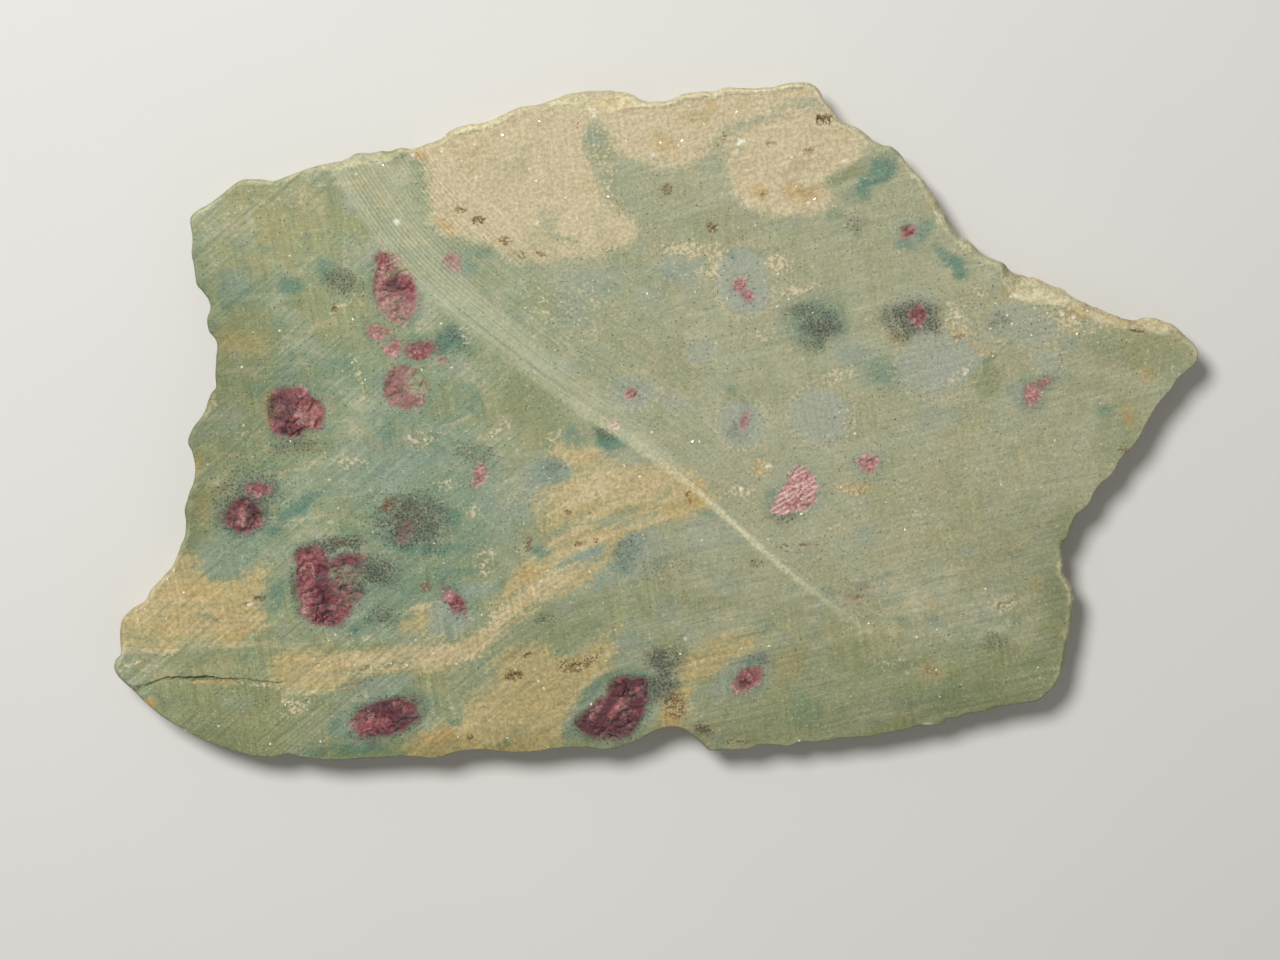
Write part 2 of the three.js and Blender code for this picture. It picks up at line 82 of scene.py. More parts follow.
# Outermost line of the rim, clockwise from the lower left: x, y, width of the broken shoulder
# between that line and the edge of the upper face.
rimRows = [
    # left side
    (-61.0, -34.6, 0.3), (-62.6, -33.1, 0.4), (-63.7, -32.1, 0.5), (-65.1, -30.75, 0.5),
    (-65.6, -29.8, 0.5), (-65.4, -28.6, 0.5), (-64.8, -27.9, 0.4), (-64.75, -25.9, 0.5),
    (-64.6, -23.9, 0.5), (-64.0, -22.9, 0.5), (-63.0, -22.05, 0.5), (-61.7, -21.2, 0.4),
    (-60.9, -20.0, 0.4), (-59.7, -18.6, 0.4), (-57.95, -16.5, 0.4), (-57.3, -14.8, 0.35),
    (-56.6, -13.0, 0.35), (-56.5, -11.4, 0.3), (-56.65, -9.9, 0.3), (-55.9, -8.0, 0.3),
    (-55.4, -6.2, 0.3), (-55.3, -4.8, 0.3), (-55.6, -3.4, 0.3), (-56.05, -2.2, 0.3),
    (-55.5, -0.5, 0.3), (-54.5, 1.1, 0.4), (-53.8, 2.5, 0.5), (-53.3, 3.9, 0.4),
    (-52.65, 4.6, 0.3), (-52.75, 6.0, 0.3), (-52.5, 8.5, 0.3), (-52.6, 10.3, 0.3),
    (-53.3, 11.4, 0.3), (-53.6, 12.7, 0.35), (-53.2, 14.3, 0.3), (-54.0, 16.1, 0.25),
    (-54.7, 16.9, 0.25), (-55.0, 19.0, 0.25), (-55.3, 20.7, 0.25), (-55.15, 22.6, 0.25),
    # top
    (-55.4, 24.7, 0.35), (-54.6, 25.8, 0.35), (-53.4, 26.4, 0.3), (-51.5, 27.8, 0.3),
    (-49.4, 29.3, 0.3), (-47.6, 29.55, 0.3), (-45.2, 29.35, 0.25), (-43.2, 30.1, 0.3),
    (-41.7, 30.6, 0.3), (-39.5, 31.2, 0.4), (-37.2, 31.6, 0.9), (-35.2, 32.5, 1.2),
    (-33.8, 32.5, 1.1), (-32.7, 32.75, 1.2), (-31.6, 32.7, 0.8), (-30.2, 33.1, 0.3),
    (-28.6, 33.1, 0.35), (-27.0, 33.7, 0.5), (-25.7, 34.1, 0.5), (-24.5, 35.2, 0.5),
    (-22.4, 35.9, 0.6), (-20.5, 36.15, 0.5), (-18.2, 36.9, 0.5), (-15.8, 38.1, 0.5),
    (-14.1, 38.2, 0.6), (-12.2, 38.9, 0.7), (-9.9, 39.6, 1.2), (-8.0, 39.85, 2.2),
    (-4.7, 39.8, 2.2), (-2.4, 39.3, 1.3), (-0.8, 38.55, 0.5), (0.9, 38.65, 0.4),
    (3.2, 39.4, 0.4), (5.2, 39.8, 0.4), (7.1, 39.9, 0.5), (8.7, 40.35, 0.4),
    (10.8, 40.2, 0.4), (13.2, 40.25, 0.4), (16.3, 40.85, 0.4), (18.0, 40.85, 0.5),
    # upper right
    (19.3, 40.2, 0.4), (20.0, 39.0, 0.3), (21.0, 37.7, 0.3), (22.0, 36.3, 0.4),
    (23.3, 35.8, 0.6), (24.7, 35.0, 0.6), (25.9, 34.0, 0.6), (27.1, 33.4, 0.5),
    (28.0, 33.35, 0.4), (30.2, 31.1, 0.4), (32.3, 28.9, 0.5), (34.1, 26.0, 0.8),
    (35.2, 24.3, 0.8), (36.1, 22.9, 0.7), (37.5, 22.2, 1.0), (39.0, 20.8, 0.9),
    (40.2, 20.1, 0.5), (41.7, 19.4, 0.6), (42.7, 18.4, 1.6), (44.2, 17.9, 2.7),
    (46.0, 17.45, 2.7), (47.4, 16.8, 2.2), (49.0, 16.1, 1.8), (50.2, 15.2, 1.2),
    (51.7, 14.7, 1.2), (53.9, 13.6, 1.1), (55.4, 13.2, 1.0), (57.1, 12.6, 0.9),
    (58.9, 13.0, 1.4), (60.3, 12.75, 1.4), (61.9, 12.2, 1.0), (63.2, 11.1, 0.5),
    # right side
    (65.1, 9.0, 0.3), (64.9, 7.9, 0.2), (63.9, 6.6, 0.2), (62.6, 5.5, 0.25),
    (61.8, 4.2, 0.2), (60.5, 2.7, 0.2), (59.0, 0.0, 0.2), (57.8, -2.0, 0.2),
    (55.9, -4.3, 0.2), (55.1, -5.8, 0.25), (53.6, -7.1, 0.25), (52.8, -8.6, 0.3),
    (52.0, -9.95, 0.3), (50.8, -10.9, 0.3), (50.2, -12.3, 0.3), (49.9, -13.5, 0.3),
    (49.15, -14.6, 0.45), (49.4, -16.2, 0.4), (49.2, -17.5, 0.4), (50.0, -18.8, 0.5),
    (50.7, -19.9, 0.6), (50.8, -21.2, 0.6), (50.4, -24.3, 0.5), (49.9, -27.0, 0.5),
    (49.3, -30.1, 0.4), (48.5, -31.7, 0.3), (46.6, -33.5, 0.3),
    # bottom
    (44.6, -34.0, 0.2), (41.3, -34.4, 0.2), (40.2, -34.9, 0.2), (37.4, -35.3, 0.2),
    (36.7, -35.75, 0.2), (35.5, -35.85, 0.2), (34.9, -36.4, 0.2), (32.0, -36.8, 0.2),
    (29.1, -37.4, 0.2), (26.2, -37.95, 0.2), (23.0, -38.2, 0.2), (20.4, -38.7, 0.2),
    (18.0, -38.7, 0.2), (16.2, -39.2, 0.2), (14.6, -39.05, 0.2), (12.4, -39.1, 0.2),
    (11.6, -39.5, 0.2), (8.3, -39.7, 0.2), (6.6, -39.7, 0.25), (5.7, -38.9, 0.25),
    (4.6, -37.9, 0.25), (3.6, -37.1, 0.25), (2.3, -36.85, 0.25), (0.9, -37.05, 0.25),
    (-0.6, -37.7, 0.25), (-2.4, -38.65, 0.25), (-4.3, -39.3, 0.2), (-6.1, -39.65, 0.2),
    (-8.7, -39.35, 0.2), (-11.6, -39.5, 0.2), (-14.0, -39.8, 0.2), (-17.2, -40.05, 0.2),
    (-20.3, -39.75, 0.2), (-24.0, -39.9, 0.2), (-26.5, -40.6, 0.2), (-30.4, -40.45, 0.2),
    (-34.8, -40.75, 0.2), (-39.0, -40.95, 0.2), (-42.3, -40.7, 0.2), (-44.2, -40.3, 0.2),
    (-46.4, -40.6, 0.2), (-49.0, -40.35, 0.2), (-51.7, -39.6, 0.2), (-55.0, -38.3, 0.2),
    (-58.3, -36.55, 0.25),
]

# Crest of the saw step: x, y, width of the slope beyond it.
crestRows = [
    (-43.0, 38.0, 9.0), (-36.5, 27.0, 8.0), (-32.0, 20.5, 6.5), (-26.5, 14.8, 5.0),
    (-21.5, 10.6, 4.5), (-15.0, 5.6, 3.6), (-8.0, 0.9, 2.8), (-1.0, -3.6, 2.0),
    (4.5, -7.9, 0.9), (9.5, -12.3, 0.6), (16.0, -18.0, 0.6), (22.5, -23.0, 0.6),
    (28.0, -27.0, 0.6), (34.0, -31.4, 0.6),
]

# Plucked pits in the upper face: x, y, half widths, depth.
pitRows = [
    (19.5, 36.3, 0.55, 0.6, 0.6), (20.8, 36.6, 0.6, 0.55, 0.6), (-23.2, 25.7, 0.7, 0.4, 0.45),
    (-21.0, 24.6, 0.75, 0.45, 0.5), (-17.8, 22.2, 0.8, 0.5, 0.4), (18.2, 32.5, 0.9, 0.6, 0.4),
    (12.8, 27.5, 0.6, 0.5, 0.35), (13.9, 33.4, 0.8, 0.45, 0.3), (57.4, 11.7, 0.9, 0.55, 0.5),
    (-47.8, -21.0, 0.9, 0.5, 0.45), (-49.3, -21.6, 0.6, 0.35, 0.4), (-17.0, -30.5, 0.8, 0.6, 0.45),
    (-15.3, -27.9, 0.7, 0.4, 0.35), (-9.4, -29.3, 1.4, 0.6, 0.4), (1.8, -33.6, 0.6, 0.8, 0.45),
    (-38.1, 14.0, 0.5, 0.4, 0.3), (42.0, -21.7, 1.0, 0.6, 0.35), (7.2, 23.7, 0.5, 0.5, 0.3),
]

# Crack near the left corner: x, y, width at the face, depth.
crackRows = [
    (-63.3, -31.8, 0.1, 0.15), (-61.6, -31.6, 0.3, 0.4), (-59.6, -30.75, 0.3, 0.4),
    (-57.6, -30.6, 0.35, 0.6), (-55.8, -30.7, 0.5, 0.8), (-54.3, -30.55, 0.4, 0.7),
    (-52.2, -30.75, 0.3, 0.5), (-49.5, -30.85, 0.2, 0.3), (-45.8, -31.25, 0.2, 0.25),
    (-44.2, -31.2, 0.1, 0.15),
]

# One layer of the rock across the face: x, y. The others run parallel to it.
strataRows = [
    (-70.0, -30.0), (-58.0, -30.3), (-46.0, -29.8), (-36.0, -28.7), (-28.5, -27.6), (-22.5, -25.8),
    (-17.5, -21.8), (-12.0, -18.2), (-6.0, -15.4), (0.0, -13.1), (6.0, -11.2), (14.0, -9.6),
    (40.0, -3.0), (70.0, 4.0),
]


# Cream feldspar: closed outlines on the upper face.
creamFields = [
    # two lobes under the top edge, with a green channel let into them
    [(-29.5, 35.5), (-28.8, 32.8), (-27.3, 31.6), (-26.7, 29.0), (-26.5, 26.5), (-26.7, 25.0),
     (-25.5, 23.6), (-23.5, 22.8), (-20.0, 22.0), (-18.5, 21.0), (-17.0, 20.0), (-15.0, 19.8),
     (-12.5, 20.0), (-10.0, 20.3), (-6.0, 21.2), (-4.0, 21.8), (-2.5, 23.0), (-3.0, 24.5),
     (-5.0, 25.5), (-6.3, 27.0), (-7.0, 29.0), (-8.0, 31.0), (-8.8, 33.3), (-8.6, 35.2),
     (-7.8, 36.4), (-6.1, 36.2), (-5.2, 34.6), (-4.4, 33.0), (-1.0, 31.5), (0.5, 31.0),
     (3.0, 31.2), (5.0, 32.0), (6.6, 33.2), (7.9, 34.5), (8.6, 33.9), (8.4, 32.3), (8.8, 30.2),
     (9.3, 28.7), (10.0, 27.5), (11.0, 26.5), (12.5, 26.0), (14.8, 25.6), (18.8, 25.7),
     (20.2, 26.4), (20.8, 27.3), (19.9, 28.4), (19.6, 29.1), (19.7, 29.7), (22.2, 30.9),
     (23.7, 31.8), (24.5, 33.4), (25.2, 36.0), (30.0, 44.0), (-29.0, 44.0)],
    # granular lip of the upper right edge
    [(43.0, 17.7), (46.5, 16.2), (49.5, 15.4), (51.5, 13.9), (54.0, 13.2), (57.0, 12.2), (60.0, 12.3),
     (62.0, 11.3), (63.2, 11.0), (67.0, 13.0), (60.0, 16.0), (52.0, 17.0), (44.0, 20.0)],
    # lower left corner
    [(-62.0, -19.0), (-57.5, -15.6), (-56.0, -15.8), (-55.0, -17.7), (-53.4, -19.0),
     (-51.3, -18.9), (-49.8, -18.2), (-48.8, -17.7), (-47.6, -17.0), (-47.0, -17.6),
     (-47.4, -19.2), (-47.9, -21.0), (-47.5, -23.2), (-48.0, -24.4), (-49.7, -25.5),
     (-51.5, -26.3), (-54.0, -26.3), (-57.0, -25.9), (-58.8, -26.9), (-61.5, -26.3),
     (-66.5, -26.2), (-66.5, -21.0)],
    # long band that climbs into the middle field
    [(-46.5, -29.2), (-45.0, -27.9), (-43.0, -27.4), (-40.0, -27.2), (-36.0, -27.3),
     (-34.0, -27.1), (-30.0, -26.8), (-26.5, -27.0), (-24.0, -26.3), (-22.0, -25.5),
     (-20.3, -24.8), (-19.0, -23.6), (-18.7, -21.9), (-18.0, -20.5), (-17.4, -19.0),
     (-17.0, -17.9), (-15.6, -17.0), (-13.3, -16.5), (-11.8, -15.9), (-12.4, -14.8),
     (-13.2, -13.4), (-13.6, -11.5), (-14.0, -9.3), (-12.6, -7.7), (-10.3, -6.8), (-9.4, -5.2),
     (-10.0, -4.0), (-12.3, -3.3), (-11.4, -2.6), (-8.4, -2.9), (-5.5, -4.2), (-2.2, -5.0),
     (0.0, -4.9), (2.5, -5.1), (4.3, -6.0), (5.5, -7.5), (6.8, -9.0), (5.8, -9.9), (4.5, -10.6),
     (2.5, -11.0), (0.5, -11.3), (-2.0, -12.3), (-4.0, -13.3), (-5.5, -15.0), (-6.5, -17.3),
     (-8.0, -18.8), (-10.0, -19.5), (-12.3, -20.1), (-13.9, -21.0), (-15.6, -22.2),
     (-17.7, -23.6), (-19.3, -25.4), (-21.0, -27.2), (-23.0, -28.3), (-25.0, -29.2),
     (-28.0, -29.4), (-31.0, -29.3), (-34.0, -29.6), (-36.0, -30.2), (-38.0, -31.2),
     (-41.0, -31.8), (-44.0, -31.6), (-46.0, -30.8)],
    # field on the bottom edge
    [(-19.2, -29.8), (-19.0, -29.0), (-18.0, -27.6), (-15.5, -26.9), (-13.5, -27.0),
     (-12.0, -27.8), (-10.5, -28.3), (-8.0, -27.0), (-6.3, -26.3), (-5.2, -26.6), (-5.3, -28.0),
     (-6.5, -29.3), (-8.0, -30.8), (-9.0, -32.2), (-10.2, -33.8), (-11.0, -35.5), (-11.8, -37.0),
     (-11.5, -38.2), (-12.3, -39.5), (-12.0, -42.5), (-30.5, -42.5), (-30.0, -39.8),
     (-28.5, -38.5), (-26.5, -37.0), (-24.5, -36.7), (-23.5, -37.0), (-22.8, -35.5),
     (-22.5, -33.8), (-21.5, -33.0), (-20.0, -32.0), (-19.5, -30.8)],
    # wedge over the bottom notch
    [(1.8, -34.0), (2.3, -33.2), (3.0, -30.5), (3.6, -28.6), (5.3, -27.3), (7.5, -26.2),
     (9.5, -25.6), (11.8, -25.6), (12.2, -26.3), (10.5, -27.3), (8.5, -28.6), (7.3, -29.8),
     (6.2, -30.8), (4.6, -31.7), (3.9, -33.0), (3.3, -34.5), (3.4, -36.0), (2.4, -38.0),
     (0.4, -38.0), (0.7, -36.5), (1.0, -35.0)],
    # small wedge beside the long band
    [(-30.7, -24.4), (-29.2, -23.4), (-28.0, -22.3), (-27.2, -23.0), (-27.6, -24.4),
     (-28.0, -25.4), (-29.5, -25.3)],
]

# Green threads that part the cream: x, y points and half width.
greenThreads = [
    ([(6.9, 33.3), (8.2, 34.8), (10.5, 35.7), (13.5, 36.8), (16.0, 37.9), (21.0, 38.3)], 0.75),
    ([(-13.6, 25.6), (-12.6, 23.6), (-11.5, 22.2), (-9.0, 22.1)], 0.55),
    ([(-4.9, -10.2), (-2.0, -9.9), (0.5, -9.0), (2.0, -8.3)], 0.42),
    ([(-13.5, -13.4), (-10.5, -12.2), (-7.0, -11.5), (-3.5, -11.7), (0.3, -11.3)], 0.75),
    ([(-14.2, -13.0), (-13.2, -10.8), (-13.6, -8.0)], 0.95),
    ([(-10.2, -8.9), (-8.6, -6.6), (-7.6, -5.6)], 0.35),
    ([(-14.0, -10.2), (-11.0, -9.4), (-8.0, -8.6), (-6.0, -8.4)], 0.4),
    ([(-11.2, -16.5), (-9.2, -15.8), (-6.6, -15.2)], 1.25),
    ([(-54.9, -22.6), (-53.6, -23.3), (-52.8, -23.8)], 0.55),
    ([(-21.0, -38.6), (-18.0, -39.2)], 0.5),
]

# Ruby crystals with corners of their own: outline, then tone from 0 (deep) to 1 (pale pink).
rubyCrystals = [
    ([(-46.3, 2.6), (-45.3, 4.2), (-43.7, 4.8), (-41.8, 4.2), (-40.5, 3.2), (-39.6, 2.1),
      (-39.9, 0.0), (-41.6, -0.6), (-43.2, -1.4), (-45.3, -1.1), (-46.1, 0.4)], 0.42),
    ([(-43.0, -14.8), (-40.0, -14.9), (-39.2, -16.4), (-38.6, -18.6), (-38.4, -20.0),
      (-35.3, -20.0), (-35.2, -20.6), (-36.0, -21.6), (-37.6, -23.7), (-38.6, -24.4),
      (-41.0, -24.0), (-42.6, -22.6), (-42.8, -20.8), (-43.2, -19.0), (-43.2, -17.0)], 0.3),
    ([(-9.5, -37.0), (-9.5, -36.0), (-8.0, -34.5), (-6.0, -32.5), (-5.0, -31.0), (-3.2, -30.5),
      (-1.0, -30.9), (-0.7, -32.2), (-1.0, -34.1), (-1.7, -36.0), (-3.0, -37.6), (-5.0, -38.1),
      (-8.0, -37.8)], 0.02),
    ([(13.9, -10.2), (14.6, -8.9), (15.8, -6.9), (16.9, -5.2), (18.2, -5.0), (19.0, -5.9),
      (19.5, -7.7), (19.4, -9.2), (18.4, -10.0), (16.6, -10.3), (15.0, -10.7)], 0.78),
    ([(24.3, -4.4), (25.0, -3.8), (26.2, -3.7), (26.9, -4.0), (26.7, -4.9), (26.1, -5.8),
      (25.2, -5.5)], 0.72),
]

# Rounded ruby knots: x, y, half widths, turn in degrees, tone.
rubyKnots = [
    (-31.8, 19.7, 1.6, 1.1, 0, 0.55), (-30.9, 16.2, 2.6, 3.9, 10, 0.62), (-32.8, 11.1, 1.4, 0.9, -20, 0.6),
    (-31.4, 9.5, 1.2, 1.2, 0, 0.65), (-28.0, 9.0, 1.7, 1.2, 10, 0.45), (-29.9, 4.6, 2.7, 2.7, 0, 0.55),
    (-49.5, -10.8, 2.35, 2.2, 0, 0.22), (-47.6, -7.6, 1.5, 0.9, 0, 0.4), (-37.1, -16.9, 2.3, 1.4, 10, 0.3),
    (-37.5, -18.8, 1.6, 1.2, 0, 0.1), (-30.2, -12.8, 1.0, 1.4, -20, 0.2), (-24.2, -21.2, 1.9, 0.9, -55, 0.35),
    (-24.2, 19.4, 1.1, 1.1, 0, 0.6), (-32.5, -35.5, 4.3, 2.3, 18, 0.08), (11.4, -30.7, 2.1, 1.2, 35, 0.5),
    (10.2, 16.8, 0.8, 0.7, 0, 0.6), (11.0, 15.7, 0.8, 0.6, -50, 0.62), (30.0, 23.3, 0.9, 0.8, 0, 0.55),
    (31.4, 13.3, 1.1, 1.3, 0, 0.45), (45.1, 3.9, 0.95, 1.2, 0, 0.65), (46.3, 5.1, 0.8, 0.35, 30, 0.5),
    (24.2, -20.8, 1.1, 0.35, 0, 0.55), (25.5, -19.5, 0.5, 0.45, 0, 0.6), (-2.85, 3.9, 0.8, 0.65, 0, 0.7),
    (-5.0, -0.1, 0.6, 0.5, 0, 0.85), (-21.0, -5.9, 0.8, 1.35, -15, 0.7), (10.6, 0.35, 0.45, 0.95, -15, 0.6),
    (-25.5, 7.8, 0.5, 0.4, 0, 0.7),
]

# Parts of the rubies with a tone of their own: x, y, half widths, turn in degrees, strength, tone.
rubyShades = [
    (-30.4, 16.5, 1.7, 1.6, -20, 0.9, 0.36), (-36.9, -17.0, 2.2, 1.4, 0, 0.9, 0.1),
    (-44.6, 2.4, 1.7, 1.9, 20, 0.9, 0.05), (-41.6, 1.3, 1.6, 1.3, 20, 0.8, 0.7),
    (-43.8, -0.6, 1.8, 0.6, 0, 0.8, 0.1), (-40.2, -19.2, 0.9, 2.0, 15, 0.9, 0.05),
    (-41.8, -17.5, 0.9, 2.6, 0, 0.8, 0.6), (-42.3, -21.4, 0.8, 1.6, 0, 0.8, 0.75),
    (-38.6, -22.0, 1.6, 1.2, 20, 0.7, 0.35), (-33.0, -34.4, 2.2, 1.4, 0, 0.9, 0.0),
    (-34.6, -36.4, 2.6, 1.1, 10, 0.9, 0.55), (-29.9, -34.0, 0.8, 1.4, 20, 0.7, 0.3),
    (-48.6, -10.4, 0.9, 1.4, 0, 0.8, 0.05), (-49.6, -11.0, 0.6, 1.3, 0, 0.8, 0.75),
    (-4.6, -34.3, 2.4, 0.5, 55, 0.8, 0.6), (-2.6, -33.6, 1.6, 1.8, 0, 0.9, 0.12),
    (-7.2, -36.0, 1.6, 1.0, 30, 0.9, 0.02), (-6.4, -33.6, 1.8, 0.45, 52, 0.8, 0.5),
    (-31.6, 4.6, 1.0, 1.8, 0, 0.7, 0.4), (-29.4, 2.9, 1.5, 0.8, 0, 0.7, 0.4),
    (-24.8, -20.5, 0.8, 0.9, 0, 0.8, 0.8), (10.9, -31.2, 1.2, 0.5, 35, 0.8, 0.15),
]

